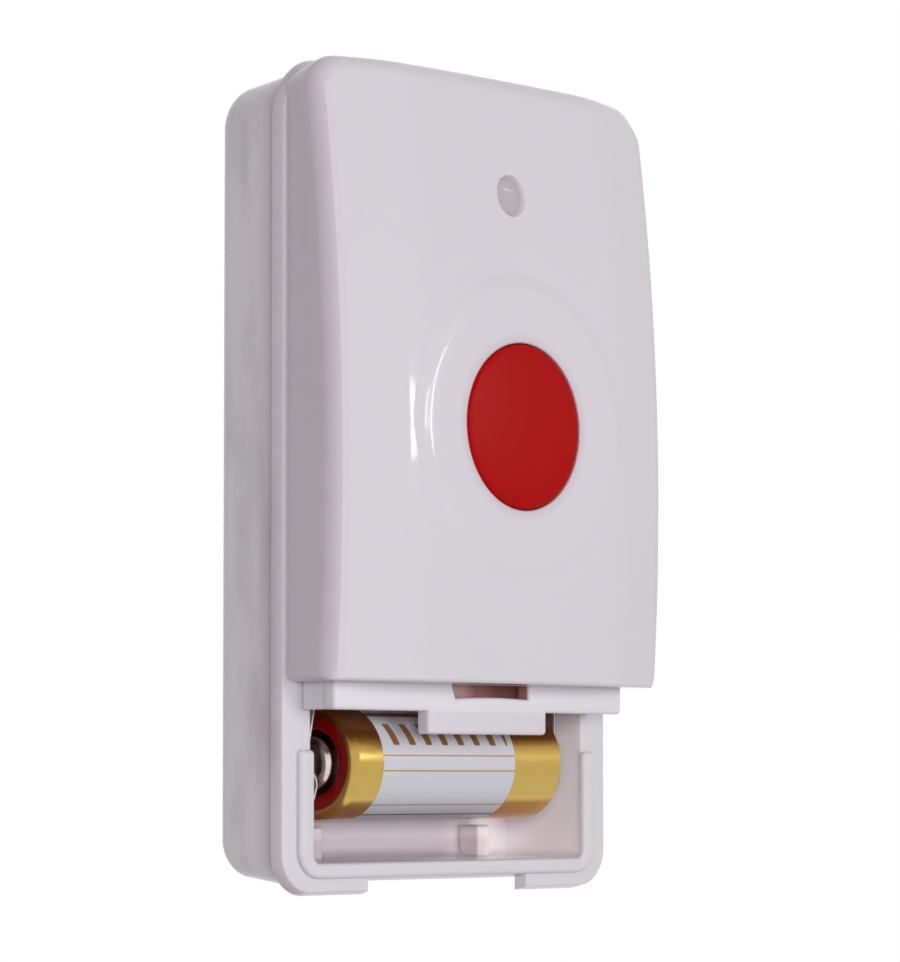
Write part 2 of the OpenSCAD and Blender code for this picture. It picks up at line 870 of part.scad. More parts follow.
module positive_contact() {
    color([0.8, 0.78, 0.74])
        bent_strip([[leaf_top + contact_foot, roof_top + contact_t / 2],
                    [leaf_top, roof_top + contact_t / 2], [leaf_top, bay_high - roof_clear],
                    [leaf_top - leaf_bow, battery_up + leaf_bend],
                    [leaf_x, battery_up - leaf_touch],
                    [leaf_x - tail_back, battery_up - leaf_touch - leaf_tail]],
                   contact_t, battery_y, contact_w);
}

module positive_slot(c) {
    block(leaf_top - contact_t / 2 - c, leaf_top + contact_t / 2 + c,
          battery_y - contact_w / 2 - c, battery_y + contact_w / 2 + c, bay_high - past, roof_top + past);
}

module negative_contact() {
    x = cavity_w / 2 - contact_t / 2;
    plate_w = 2.8;
    plate_h = 2 * spring_r_wall;
    color([0.8, 0.78, 0.74]) {
        bent_strip([[x - contact_foot, roof_top + contact_t / 2], [x, roof_top + contact_t / 2],
                    [x, battery_up]], contact_t, battery_y, tab_w);
        block(x - contact_t / 2, x + contact_t / 2, battery_y - plate_w / 2, battery_y + plate_w / 2,
              battery_up - plate_h / 2, battery_up + plate_h / 2);
    }
}

module negative_slot(c) {
    block(cavity_w / 2 - contact_t - c, cavity_w / 2,
          battery_y - tab_w / 2 - c, battery_y + tab_w / 2 + c, bay_high - bay_round, roof_top + past);
    block(cavity_w / 2 - contact_foot - c, cavity_w / 2,
          battery_y - tab_w / 2 - c, battery_y + tab_w / 2 + c, roof_top, roof_top + past);
}

// Coil spring from the plate to the battery, as points along its wire and rings about them
spring_seat = 0.02;
spring_start = negative_x - spring_wire / 2 - spring_seat;
spring_stop = battery_end + contact_gap + spring_wire / 2;
spring_rings = round(spring_turns * 8);
function spring_point(k) =
    let (s = k / spring_rings, a = 360 * spring_turns * s,
         r = spring_r_wall + (spring_r_tip - spring_r_wall) * s)
    [spring_start + (spring_stop - spring_start) * s,
     battery_y + r * cos(a), up(battery_up) + r * sin(a)];
function unit(v) = v / norm(v);
function spring_ring(k) =
    let (p = spring_point(k),
         along = unit(spring_point(min(k + 1, spring_rings)) - spring_point(max(k - 1, 0))),
         out = unit([0, p[1] - battery_y, p[2] - up(battery_up)]),
         side = unit(cross(along, out)),
         rise = cross(side, along))
    [for (i = [0 : 5])
        p + spring_wire / 2 * (cos(60 * i) * rise + sin(60 * i) * side)];
spring_self_gap = min([for (k = [0 : spring_rings], m = [0 : spring_rings])
    if (abs(k - m) >= 5) norm(spring_point(k) - spring_point(m))]) - spring_wire;

module negative_spring() {
    echo(least_gap_between_spring_turns = spring_self_gap);
    color([0.75, 0.74, 0.72])
        skin([for (k = [0 : spring_rings]) spring_ring(k)]);
}

// Battery: steel can, gold sleeve, white label, red insulator, positive cap and base plate
base_t = 0.3;
edge_r = 0.85;
can_d = battery_d - 2 * sleeve_t;
rim_w = 0.7;
insulator_d = can_d - 2 * rim_w;
insulator_t = 0.35;
insulator_gap = 0.4;
roll_t = 0.1;
roll_w = 0.9;
can_edge = 0.6;
base_sink = 0.15;
base_edge = 0.3;

module battery_can() {
    pocket = can_end + insulator_t;
    color([0.65, 0.65, 0.66])
        about_battery([[0, pocket], [insulator_d / 2, pocket], [insulator_d / 2, can_end + roll_t],
                       [can_d / 2 - can_edge, can_end + roll_t], [can_d / 2, can_end + roll_t + can_edge],
                       [can_d / 2, battery_end - base_t], [0, battery_end - base_t]]);
}

module battery_sleeve() {
    r = battery_d / 2;
    groove = r - label_t;
    label_start = can_end + band_l;
    color([0.75, 0.62, 0.34])
        about_battery(concat(
            [[r - roll_w, can_end], [r - roll_w, can_end + roll_t], [can_d / 2 - can_edge, can_end + roll_t],
             [can_d / 2, can_end + roll_t + can_edge], [can_d / 2, battery_end - base_sink],
             [r - roll_t, battery_end - base_sink], [r, battery_end - base_sink - roll_t],
             [r, label_start + label_l], [groove, label_start + label_l], [groove, label_start],
             [r, label_start]],
            [for (a = [0 : 22.5 : 90]) [r - edge_r + edge_r * cos(a), can_end + edge_r - edge_r * sin(a)]]));
}

module battery_label() {
    r = battery_d / 2;
    label_start = can_end + band_l;
    color([0.86, 0.85, 0.88])
        about_battery([[r - label_t, label_start], [r, label_start],
                       [r, label_start + label_l], [r - label_t, label_start + label_l]]);
}

module battery_insulator() {
    color([0.45, 0.06, 0.05])
        about_battery([[cap_d / 2 + insulator_gap, can_end + insulator_t],
                       [cap_d / 2 + insulator_gap, can_end], [insulator_d / 2, can_end],
                       [insulator_d / 2, can_end + insulator_t]]);
}

module battery_cap() {
    r = cap_d / 2;
    edge = 0.3;
    color([0.78, 0.77, 0.75])
        about_battery(concat(
            [[0, can_end + insulator_t], [r, can_end + insulator_t]],
            [for (a = [0 : 30 : 90]) [r - edge + edge * cos(a), battery_tip + edge - edge * sin(a)]],
            [[0, battery_tip]]));
}

module battery_base() {
    color([0.7, 0.7, 0.7])
        about_battery([[0, battery_end - base_t], [can_d / 2, battery_end - base_t],
                       [can_d / 2 - base_edge, battery_end], [0, battery_end]]);
}

back_case();
front_cover();
case_screws();
button_cap();
switch_base();
switch_frame();
switch_plunger();
switch_dome();
switch_legs();
circuit_board();
board_screws();
encoder_chip();
chip_leads();
resonator_can();
radio_transistor();
transistor_leads();
chip_resistors();
chip_capacitors();
antenna_track();
lamp_lens();
lamp_legs();
positive_contact();
negative_contact();
negative_spring();
battery_can();
battery_sleeve();
battery_label();
battery_insulator();
battery_cap();
battery_base();
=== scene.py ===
"""Looks of a wireless panic button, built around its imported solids. Lengths are in millimetres."""

import math

import bmesh
import bpy
from mathutils import Matrix, Vector
from mathutils.geometry import tessellate_polygon


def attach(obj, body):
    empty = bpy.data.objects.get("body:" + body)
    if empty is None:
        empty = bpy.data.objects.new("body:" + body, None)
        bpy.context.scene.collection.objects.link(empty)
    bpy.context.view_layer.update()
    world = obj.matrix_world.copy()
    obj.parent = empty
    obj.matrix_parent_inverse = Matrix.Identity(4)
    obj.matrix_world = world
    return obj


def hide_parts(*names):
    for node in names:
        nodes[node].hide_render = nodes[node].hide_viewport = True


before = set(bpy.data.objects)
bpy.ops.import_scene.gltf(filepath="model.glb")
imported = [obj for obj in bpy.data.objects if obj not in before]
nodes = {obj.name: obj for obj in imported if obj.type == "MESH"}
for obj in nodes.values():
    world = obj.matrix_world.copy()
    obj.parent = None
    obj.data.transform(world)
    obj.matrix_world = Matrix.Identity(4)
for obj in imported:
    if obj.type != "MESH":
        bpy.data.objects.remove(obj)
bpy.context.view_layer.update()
scene = bpy.context.scene
scene.view_settings.view_transform = "Standard"

MM = 0.001

# Case: flange, tray and battery bay
CASE_W = 43.7
CASE_H = 75.0
CASE_CORNER = 5.9
LOWER_CORNER = 3.8
FLANGE_T = 1.3
FLANGE_EDGE = 0.22
FLANGE_DRAFT = 0.25
FLANGE_BACK_EDGE = 0.1
TRAY_D = 9.1
TRAY_STEP = 0.7
TRAY_LOW = 0.6
TRAY_DRAFT = 0.85
TRAY_ROUND = 2.4
FLANGE_BACK = -TRAY_D
FLANGE_FRONT = -(TRAY_D + FLANGE_T)
FLOOR_Y = -1.0
CAVITY_W = 36.4
CAVITY_LOW = 19.2
CAVITY_TOP = 71.5
BAY_LOW = 2.9
BAY_HIGH = 17.7
LIP_W = 1.4
LIP_H = 0.6
LIP_TOP = 12.9
LIP_CORNER = 2.6
NOTCH = (-10.45, 10.2)
NOTCH_H = 1.2
PILLARS = [(x, h) for x in (-14.8, 14.8) for h in (24.35, 66.35)]
PILLAR_R = 3.0
SCREW_R = 1.25
SCREW_HEAD_R = 2.4
SCREW_SEAT = -2.2
SCREW_END = -4.0
THREAD_R = 0.98
POSTS = [(-12.6, 46.95), (12.6, 46.95)]
POST_R = 2.5
POST_FRONT = -7.6
WALL_HOLES = [(0.0, CASE_H / 2 - 14.0), (0.0, CASE_H / 2 + 14.0)]
WALL_HOLE_R = 1.8
HOLE_MOUTH = 0.15
RIBS = [(-10.3, 0.62), (12.05, 0.85)]
RIB_FRONT = -3.6
RIB_TOP = 6.0

# Front cover
COVER_W = 43.9
COVER_LEAN = 1.0
COVER_TOP = 74.8
TOP_ARC = 0.0006
COVER_LOW = 18.9
COVER_CORNER = 3.5
SIDE_BEND = 2.4
SIDE_CUT = math.radians(48.0)
SIDE_ROUND = SIDE_BEND * (1 - math.sin(SIDE_CUT))
TOP_ROUND = 2.0
LOW_ROUND = 0.4
LOW_CORNER = 0.7
COVER_WALL = 1.5
COVER_PILLAR_R = 2.7
COVER_SEAM = FLANGE_FRONT + 1.0
CROWN_Y = -19.5
CROWN_R = 250.0
PANEL_W = 27.2
SIDE_FALL = 2.1
CREASE_SOFT = 1.9
BUTTON_UP = 42.2
BUTTON_SUNK = -0.06
HOLE_R = 7.62
PAD_R = 13.2
PAD_RISE = 0.16
PAD_SOFT = 1.0
PAD_BACK = -16.86
LAMP_UP = 63.5
DIMPLE_R = 1.9
DIMPLE_DEEP = 0.9
STRIP_W = 38.6
STRIP_LOW = 16.4
STRIP_FRONT = FLANGE_FRONT - 4.2
STRIP_WALL = 1.4
TONGUE = (-7.25, 8.65)
TONGUE_LOW = 14.35
SLOT = (-4.1, 6.3)
SLOT_Z = (17.6, 18.85)

# Battery and contacts
BATTERY_R = 5.15
BATTERY_Y = -6.35
BATTERY_UP = 11.75
BATTERY_TIP = -14.5
BATTERY_END = 14.4
CAN_END = -13.65
LABEL = (-9.9, 7.7)
CONTACT_T = 0.3
CONTACT_W = 3.6
TAB_W = 2.0
TAB_REACH = 3.2


def up(height):
    """Z of a height over the case's lower edge."""
    return height - CASE_H / 2


def smooth(value, start, stop):
    """Eases from 0 at start to 1 at stop."""
    t = min(1.0, max(0.0, (value - start) / (stop - start)))
    return t * t * (3 - 2 * t)


class Shape:
    """A mesh put together from rings of points."""

    def __init__(self):
        self.points = []
        self.faces = []

    def ring(self, points):
        first = len(self.points)
        self.points.extend(points)
        return list(range(first, len(self.points)))

    def bridge(self, a, b):
        for i in range(len(a)):
            j = (i + 1) % len(a)
            self.faces.append((a[i], a[j], b[j], b[i]))

    def loft(self, rings):
        made = [self.ring(points) for points in rings]
        for a, b in zip(made, made[1:]):
            self.bridge(a, b)
        return made

    def cap(self, ring):
        self.faces.append(tuple(ring))

    def fill(self, *rings):
        """Closes the flat area inside the first ring and outside the others."""
        loops = [[Vector((self.points[i][0], self.points[i][2], 0.0)) for i in ring] for ring in rings]
        order = [i for ring in rings for i in ring]
        for corners in tessellate_polygon(loops):
            self.faces.append(tuple(order[k] for k in corners))

    def piece(self, name, body, slot, material, replaced, sharp=32):
        """Makes the object. Edges that turn by more than the sharp angle aren't smoothed."""
        mesh = bpy.data.meshes.new(name)
        mesh.from_pydata([Vector(p) * MM for p in self.points], [], self.faces)
        work = bmesh.new()
        work.from_mesh(mesh)
        bmesh.ops.recalc_face_normals(work, faces=work.faces)
        work.to_mesh(mesh)
        work.free()
        mesh.polygons.foreach_set("use_smooth", [True] * len(mesh.polygons))
        mesh.set_sharp_from_angle(angle=math.radians(sharp))
        mesh.materials.append(material)
        made = bpy.data.objects.new(name, mesh)
        scene.collection.objects.link(made)
        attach(made, body)
        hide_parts(*replaced)
        return made


def arc(cx, cz, r, start, stop, steps):
    """Points along an arc, with its angles in degrees."""
    turns = [math.radians(start + (stop - start) * k / steps) for k in range(steps + 1)]
    return [(cx + r * math.cos(t), cz + r * math.sin(t)) for t in turns]


def rounded_loop(w, low, high, r, steps=8):
    """Outline of a rounded rectangle in X and height, from its lower right corner round to the lower left."""
    x = w / 2 - r
    return (arc(x, low + r, r, -90, 0, steps) + arc(x, high - r, r, 0, 90, steps)
            + arc(-x, high - r, r, 90, 180, steps) + arc(-x, low + r, r, 180, 270, steps))


def circle_loop(place, r, steps=32):
    return arc(place[0], place[1], r, 0, 360, steps)[:-1]


def inset_loop(loop, d):
    """The outline moved inwards by d."""
    moved = []
    for i, here in enumerate(loop):
        before = loop[i - 1]
        after = loop[(i + 1) % len(loop)]
        a = Vector((here[0] - before[0], here[1] - before[1])).normalized()
        b = Vector((after[0] - here[0], after[1] - here[1])).normalized()
        left = Vector((-a.y - b.y, a.x + b.x))
        share = d / max(0.2, 1 + a.dot(b))
        moved.append((here[0] + left.x * share, here[1] + left.y * share))
    return moved


def at_y(loop, y):
    """An outline in X and height, placed at one Y."""
    return [(x, y, up(h)) for x, h in loop]


def edge_rings(loop, y, r, way, steps=4):
    """Rings round an edge of radius r, from the flat face at y out to the side. way is +1 towards +Y."""
    rings = []
    for k in range(steps + 1):
        a = math.pi / 2 * k / steps
        rings.append(at_y(inset_loop(loop, r * (1 - math.sin(a))), y + way * r * (1 - math.cos(a))))
    return rings


def plate(shape, outline, holes, front, back, edge):
    """A flat plate along Y with its front edges rounded. Holes run clockwise."""
    fronts = []
    backs = []
    for loop in [outline] + holes:
        made = shape.loft(edge_rings(loop, front, edge, 1) + [at_y(loop, back)])
        fronts.append(made[0])
        backs.append(made[-1])
    shape.fill(*fronts)
    shape.fill(*backs)
    return shape


def filleted(corners, steps=5):
    """An outline from (x, height, radius) corners."""
    loop = []
    for i, (x, h, r) in enumerate(corners):
        here = Vector((x, h))
        if r == 0:
            loop.append((x, h))
            continue
        a = (Vector(corners[i - 1][:2]) - here).normalized()
        b = (Vector(corners[(i + 1) % len(corners)][:2]) - here).normalized()
        half = a.angle(b) / 2
        middle = here + (a + b).normalized() * (r / math.sin(half))
        start = here + a * (r / math.tan(half)) - middle
        stop = here + b * (r / math.tan(half)) - middle
        turn = math.atan2(start.x * stop.y - start.y * stop.x, start.dot(stop))
        first = math.atan2(start.y, start.x)
        for k in range(steps + 1):
            t = first + turn * k / steps
            loop.append((middle.x + r * math.cos(t), middle.y + r * math.sin(t)))
    return loop


def turned(shape, outline, centre, axis, steps=96, closed=False):
    """Turns an outline of (radius, distance) pairs about an axis through centre."""
    rings = []
    for r, s in outline:
        ring = []
        for k in range(steps):
            a = 2 * math.pi * k / steps
            if axis == "Y":
                ring.append((centre[0] + r * math.cos(a), s, up(centre[1]) + r * math.sin(a)))
            else:
                ring.append((s, centre[0] + r * math.cos(a), up(centre[1]) + r * math.sin(a)))
        rings.append(ring)
    made = shape.loft(rings)
    if closed:
        shape.bridge(made[-1], made[0])
    else:
        shape.cap(made[0])
        shape.cap(made[-1])
    return shape


def tube(shape, place, hole, r, front, back):
    """A round pillar along Y with a hole through it."""
    turned(shape, [(hole, front), (r, front), (r, back), (hole, back)], place, "Y", 32, True)


def blocks(boxes, cuts=()):
    """A square-cut solid: boxes less cuts, each (x0, x1, y0, y1, low, high)."""
    every = list(boxes) + list(cuts)
    planes = [sorted({b[2 * k + e] for b in every for e in (0, 1)}) for k in range(3)]

    def holds(box, p):
        return all(box[2 * k] < p[k] < box[2 * k + 1] for k in range(3))

    def solid(cell):
        if any(c < 0 or c >= len(planes[k]) - 1 for k, c in enumerate(cell)):
            return False
        p = [(planes[k][c] + planes[k][c + 1]) / 2 for k, c in enumerate(cell)]
        return any(holds(b, p) for b in boxes) and not any(holds(c, p) for c in cuts)

    shape = Shape()
    seen = {}

    def corner(index):
        if index not in seen:
            x, y, h = (planes[k][index[k]] for k in range(3))
            seen[index] = shape.ring([(x, y, up(h))])[0]
        return seen[index]

    cells = [(i, j, k) for i in range(len(planes[0]) - 1) for j in range(len(planes[1]) - 1)
             for k in range(len(planes[2]) - 1)]
    for cell in filter(solid, cells):
        for axis in range(3):
            for step in (0, 1):
                beyond = list(cell)
                beyond[axis] += 1 if step else -1
                if solid(tuple(beyond)):
                    continue
                u, v = [k for k in range(3) if k != axis]
                face = []
                for du, dv in ((0, 0), (1, 0), (1, 1), (0, 1)):
                    index = list(cell)
                    index[axis] += step
                    index[u] += du
                    index[v] += dv
                    face.append(corner(tuple(index)))
                shape.faces.append(tuple(face))
    return shape


def soften(piece, width, segments=3):
    """Rounds the sharp edges of a piece."""
    edges = piece.modifiers.new("edges", "BEVEL")
    edges.width = width * MM
    edges.segments = segments
    edges.limit_method = "ANGLE"
    edges.angle_limit = math.radians(40)
    edges.harden_normals = True


# Materials

def paint(name, colour, rough, metal=0.0):
    """A new material with its shader's plain values set. Returns the material, its nodes and its shader."""
    material = bpy.data.materials.new(name)
    material.use_nodes = True
    tree = material.node_tree
    shader = tree.nodes["Principled BSDF"]
    shader.inputs["Base Color"].default_value = (*colour, 1.0)
    shader.inputs["Roughness"].default_value = rough
    shader.inputs["Metallic"].default_value = metal
    return material, tree, shader


def place_of(tree):
    return tree.nodes.new("ShaderNodeTexCoord").outputs["Object"]


def axes_of(tree):
    """X, Y and Z over the piece."""
    apart = tree.nodes.new("ShaderNodeSeparateXYZ")
    tree.links.new(place_of(tree), apart.inputs["Vector"])
    return apart.outputs["X"], apart.outputs["Y"], apart.outputs["Z"]


def maths(tree, operation, *values):
    """A math node fed with sockets or plain numbers."""
    node = tree.nodes.new("ShaderNodeMath")
    node.operation = operation
    for entry, value in zip(node.inputs, values):
        if isinstance(value, float):
            entry.default_value = value
        else:
            tree.links.new(value, entry)
    return node.outputs["Value"]


def noise(tree, scale, detail=3.0, stretch=None):
    """Noise over the piece, with scale in features per metre."""
    source = place_of(tree)
    if stretch:
        mapping = tree.nodes.new("ShaderNodeMapping")
        mapping.inputs["Scale"].default_value = stretch
        tree.links.new(source, mapping.inputs["Vector"])
        source = mapping.outputs["Vector"]
    texture = tree.nodes.new("ShaderNodeTexNoise")
    texture.inputs["Scale"].default_value = scale
    texture.inputs["Detail"].default_value = detail
    tree.links.new(source, texture.inputs["Vector"])
    return texture.outputs["Fac"]


def tint(tree, shader, fac, dark, light, low=0.3, high=0.7):
    """Shifts the base colour between two tints."""
    ramp = tree.nodes.new("ShaderNodeValToRGB")
    ramp.color_ramp.elements[0].position = low
    ramp.color_ramp.elements[0].color = (*dark, 1.0)
    ramp.color_ramp.elements[1].position = high
    ramp.color_ramp.elements[1].color = (*light, 1.0)
    tree.links.new(fac, ramp.inputs["Fac"])
    tree.links.new(ramp.outputs["Color"], shader.inputs["Base Color"])


def vary(tree, node, name, fac, low, high):
    """Lets one of a node's values run from low to high with the factor."""
    span = tree.nodes.new("ShaderNodeMapRange")
    span.inputs["To Min"].default_value = low
    span.inputs["To Max"].default_value = high
    tree.links.new(fac, span.inputs["Value"])
    tree.links.new(span.outputs["Result"], node.inputs[name])


def relief(tree, shader, fac, strength, depth):
    """Fine surface relief, depth in millimetres."""
    bump = tree.nodes.new("ShaderNodeBump")
    bump.inputs["Strength"].default_value = strength
    bump.inputs["Distance"].default_value = depth * MM
    tree.links.new(fac, bump.inputs["Height"])
    tree.links.new(bump.outputs["Normal"], shader.inputs["Normal"])
    return bump


def step(tree, value, start, stop):
    """0 at start and 1 at stop, with a soft change between."""
    span = tree.nodes.new("ShaderNodeMapRange")
    span.interpolation_type = "SMOOTHSTEP"
    span.inputs["From Min"].default_value = start
    span.inputs["From Max"].default_value = stop
    tree.links.new(value, span.inputs["Value"])
    return span.outputs["Result"]


def between(tree, value, low, high, soft):
    """1 from low to high, fading to 0 over the soft length outside."""
    return product(tree, step(tree, value, low - soft, low), step(tree, value, high + soft, high))


def product(tree, *factors):
    made = factors[0]
    for factor in factors[1:]:
        made = maths(tree, "MULTIPLY", made, factor)
    return made


def dye(tree, shader, amount, colour):
    """Multiplies the base colour by another where the amount is 1."""
    ground = shader.inputs["Base Color"].links[0].from_socket
    mix = tree.nodes.new("ShaderNodeMix")
    mix.data_type = "RGBA"
    mix.blend_type = "MULTIPLY"
    mix.inputs["B"].default_value = (*colour, 1.0)
    tree.links.new(amount, mix.inputs["Factor"])
    tree.links.new(ground, mix.inputs["A"])
    tree.links.new(mix.outputs["Result"], shader.inputs["Base Color"])


def moulded(name, dark, light, rough, grain=5000.0, depth=0.004):
    """Moulded plastic: a slow drift of colour, a fine grain and a gloss that varies."""
    middle = [(a + b) / 2 for a, b in zip(dark, light)]
    material, tree, shader = paint(name, middle, sum(rough) / 2)
    tint(tree, shader, noise(tree, 90.0), dark, light)
    vary(tree, shader, "Roughness", noise(tree, 260.0, 4.0), *rough)
    relief(tree, shader, noise(tree, grain, 2.0), 0.3, depth)
    return material, tree, shader


def metal(name, dark, light, rough, stretch=None, scale=1500.0):
    """Metal with streaks from rolling or plating."""
    middle = [(a + b) / 2 for a, b in zip(dark, light)]
    material, tree, shader = paint(name, middle, sum(rough) / 2, 1.0)
    streak = noise(tree, scale, 4.0, stretch)
    tint(tree, shader, streak, dark, light)
    vary(tree, shader, "Roughness", noise(tree, scale / 3, 3.0), *rough)
    relief(tree, shader, streak, 0.2, 0.004)
    return material


def case_paint():
    """White moulding, a little see-through, with a wavier surface on the tray behind the flange, and light
    and shade painted into its colour in many places.
    """
    dark = (0.690, 0.650, 0.702)
    light = (0.712, 0.670, 0.722)
    material, tree, shader = paint("case_plastic", light, 0.2)
    tint(tree, shader, noise(tree, 25.0, 2.0), dark, light)
    vary(tree, shader, "Roughness", noise(tree, 120.0, 3.0), 0.05, 0.08)
    shader.inputs["Subsurface Weight"].default_value = 0.5
    shader.inputs["Subsurface Radius"].default_value = (1.0, 0.7, 0.62)
    shader.inputs["Subsurface Scale"].default_value = 1.2 * MM
    x, y, z = axes_of(tree)
    outside = maths(tree, "ABSOLUTE", x)

    def past(value, start, stop):
        """0 at start and 1 at stop, both in millimetres."""
        return step(tree, value, start * MM, stop * MM)

    def within(value, low, high, soft):
        return between(tree, value, low * MM, high * MM, soft * MM)

    def shade(colour, *factors):
        """Paints light or shade into the plastic's colour where all the factors are 1."""
        dye(tree, shader, product(tree, *factors), colour)

    def away_from(height):
        """Distance from a point of that height in the middle of the front."""
        flat = tree.nodes.new("ShaderNodeCombineXYZ")
        tree.links.new(x, flat.inputs["X"])
        tree.links.new(z, flat.inputs["Z"])
        aside = tree.nodes.new("ShaderNodeVectorMath")
        aside.operation = "DISTANCE"
        aside.inputs[1].default_value = (0.0, 0.0, up(height) * MM)
        tree.links.new(flat.outputs["Vector"], aside.inputs[0])
        return aside.outputs["Value"]

    # The tray is wavier and glossier, with painted light over it, streaks of painted reflection, and a
    # painted shadow beside the flange
    wall = CAVITY_W / 2
    behind = product(tree, past(y, FLANGE_FRONT, FLANGE_BACK), past(outside, wall, wall + 0.3))
    bump = relief(tree, shader, noise(tree, 420.0, 4.0), 0.1, 0.06)
    vary(tree, bump, "Strength", behind, 0.02, 0.5)
    vary(tree, shader, "Specular IOR Level", behind, 0.5, 0.85)
    reflection_streaks = step(tree, noise(tree, 160.0, 4.0, (1.0, 1.0, 0.35)), 0.42, 0.68)
    shade((1.20, 1.17, 1.18), behind)
    shade((0.80, 0.79, 0.81), behind, reflection_streaks)
    # Painted light through the plastic turns the cover's sides pinker
    shade((1.0, 0.945, 0.985), past(outside, 20.4, 21.0), past(y, FLANGE_FRONT, FLANGE_FRONT - 0.3))
    shade((0.76, 0.70, 0.74), behind, past(y, FLANGE_BACK + 3.6, FLANGE_BACK + 0.1))

    # Painted shade darkens the dimple with a pink tint, and painted soft shade and a painted red glow from
    # the button ring the rim of its hole
    shade((0.72, 0.66, 0.67), past(away_from(LAMP_UP), DIMPLE_R, 0.86 * DIMPLE_R), past(y, -16.0, -17.0))
    from_button = away_from(BUTTON_UP)
    front = past(y, -12.0, -14.0)
    shade((0.92, 0.87, 0.88), front, past(from_button, HOLE_R + 1.3, HOLE_R))
    shade((0.74, 0.44, 0.45), front, past(from_button, HOLE_R + 0.16, HOLE_R + 0.04))

    # Painted light, as if come through the plastic, warms the inside of the slot, and painted shade darkens
    # its right
    inside = product(tree, within(y, STRIP_FRONT + 0.45, -2.0, 0.2), within(z, up(17.3), up(22.0), 0.1),
                     within(x, SLOT[0] - 0.8, SLOT[1] + 6.0, 0.2))
    shade((0.90, 0.58, 0.54), inside)
    shade((0.72, 0.58, 0.54), inside, past(x, 2.2, 3.6))

    # Painted light lifts the bay, most on its right, and painted shade darkens it along its foot
    bay = product(tree, within(y, FLANGE_FRONT + 0.1, -0.9, 0.2), past(outside, wall + 0.25, wall + 0.05),
                  within(z, up(BAY_LOW - 0.1), up(BAY_HIGH + 0.1), 0.1))
    shade((1.34, 1.34, 1.30), bay, past(x, 8.0, 13.0))
    shade((0.80, 0.78, 0.78), bay, past(z, up(BAY_LOW + 2.4), up(BAY_LOW + 1.5)), past(x, 14.0, 11.0))
    shade((1.06, 1.01, 1.01), bay)

    # Painted light makes the ledge paler than the cover, and painted shade darkens its tongue
    ledge = product(tree, past(y, STRIP_FRONT + 0.5, STRIP_FRONT + 0.3),
                    past(z, up(COVER_LOW + 0.2), up(COVER_LOW)))
    shade((1.07, 1.08, 1.07), ledge)
    shade((0.93, 0.93, 0.93), ledge, past(z, up(STRIP_LOW + 0.2), up(STRIP_LOW - 0.2)))
    return material


case_plastic = case_paint()
button_red, _, button_shader = moulded(
    "button_red", (0.395, 0.0020, 0.0022), (0.415, 0.0026, 0.0028), (0.18, 0.26), 7000.0, 0.001)
button_shader.inputs["Specular IOR Level"].default_value = 0.05
black_plastic, _, _ = moulded("black_plastic", (0.010, 0.010, 0.011), (0.022, 0.022, 0.024), (0.45, 0.65))
tan_ceramic, _, _ = moulded("tan_ceramic", (0.36, 0.26, 0.14), (0.46, 0.35, 0.20), (0.5, 0.7))
lamp_red, _, lamp_shader = moulded("lamp_red", (0.55, 0.03, 0.025), (0.62, 0.045, 0.035), (0.06, 0.12))
lamp_shader.inputs["Transmission Weight"].default_value = 0.5
insulator_red, _, insulator_shader = moulded(
    "insulator_red", (0.200, 0.003, 0.003), (0.250, 0.005, 0.004), (0.10, 0.20), 3000.0, 0.004)
insulator_shader.inputs["Specular IOR Level"].default_value = 0.3
screw_steel = metal("screw_steel", (0.30, 0.30, 0.31), (0.45, 0.45, 0.46), (0.25, 0.45))
bright_steel = metal("bright_steel", (0.52, 0.52, 0.54), (0.68, 0.68, 0.70), (0.2, 0.4))
contact_metal = metal("contact_metal", (0.58, 0.54, 0.50), (0.74, 0.70, 0.66), (0.16, 0.32), (1.0, 8.0, 1.0))
battery_metal = metal("battery_metal", (0.62, 0.55, 0.52), (0.76, 0.69, 0.66), (0.16, 0.26))
# Painted shade: the hidden can is near black so that the battery's groove looks shadowed
groove_shade_metal = metal("groove_shade_metal", (0.030, 0.016, 0.015), (0.055, 0.030, 0.028), (0.3, 0.5))
copper = metal("copper", (0.50, 0.22, 0.08), (0.62, 0.30, 0.12), (0.3, 0.5))


def board_paint():
    """Green solder mask with slightly raised tracks under it."""
    material, tree, shader = paint("board_green", (0.012, 0.10, 0.032), 0.4)
    tracks = tree.nodes.new("ShaderNodeTexBrick")
    tracks.inputs["Scale"].default_value = 120.0
    tracks.inputs["Mortar Size"].default_value = 0.03
    tracks.inputs["Color1"].default_value = (0.010, 0.085, 0.028, 1.0)
    tracks.inputs["Color2"].default_value = (0.014, 0.110, 0.036, 1.0)
    tracks.inputs["Mortar"].default_value = (0.030, 0.190, 0.060, 1.0)
    turn = tree.nodes.new("ShaderNodeMapping")
    turn.inputs["Rotation"].default_value = (math.pi / 2, 0.0, 0.0)
    tree.links.new(place_of(tree), turn.inputs["Vector"])
    tree.links.new(turn.outputs["Vector"], tracks.inputs["Vector"])
    tree.links.new(tracks.outputs["Color"], shader.inputs["Base Color"])
    vary(tree, shader, "Roughness", noise(tree, 700.0), 0.3, 0.5)
    relief(tree, shader, tracks.outputs["Fac"], 0.4, 0.03)
    return material


def battery_angle(tree):
    """Angle round the battery's axis, 0 at the front and growing upwards, in radians."""
    _, y, z = axes_of(tree)
    forward = maths(tree, "MULTIPLY_ADD", y, -1.0, BATTERY_Y * MM)
    rise = maths(tree, "SUBTRACT", z, up(BATTERY_UP) * MM)
    return maths(tree, "ARCTAN2", rise, forward)


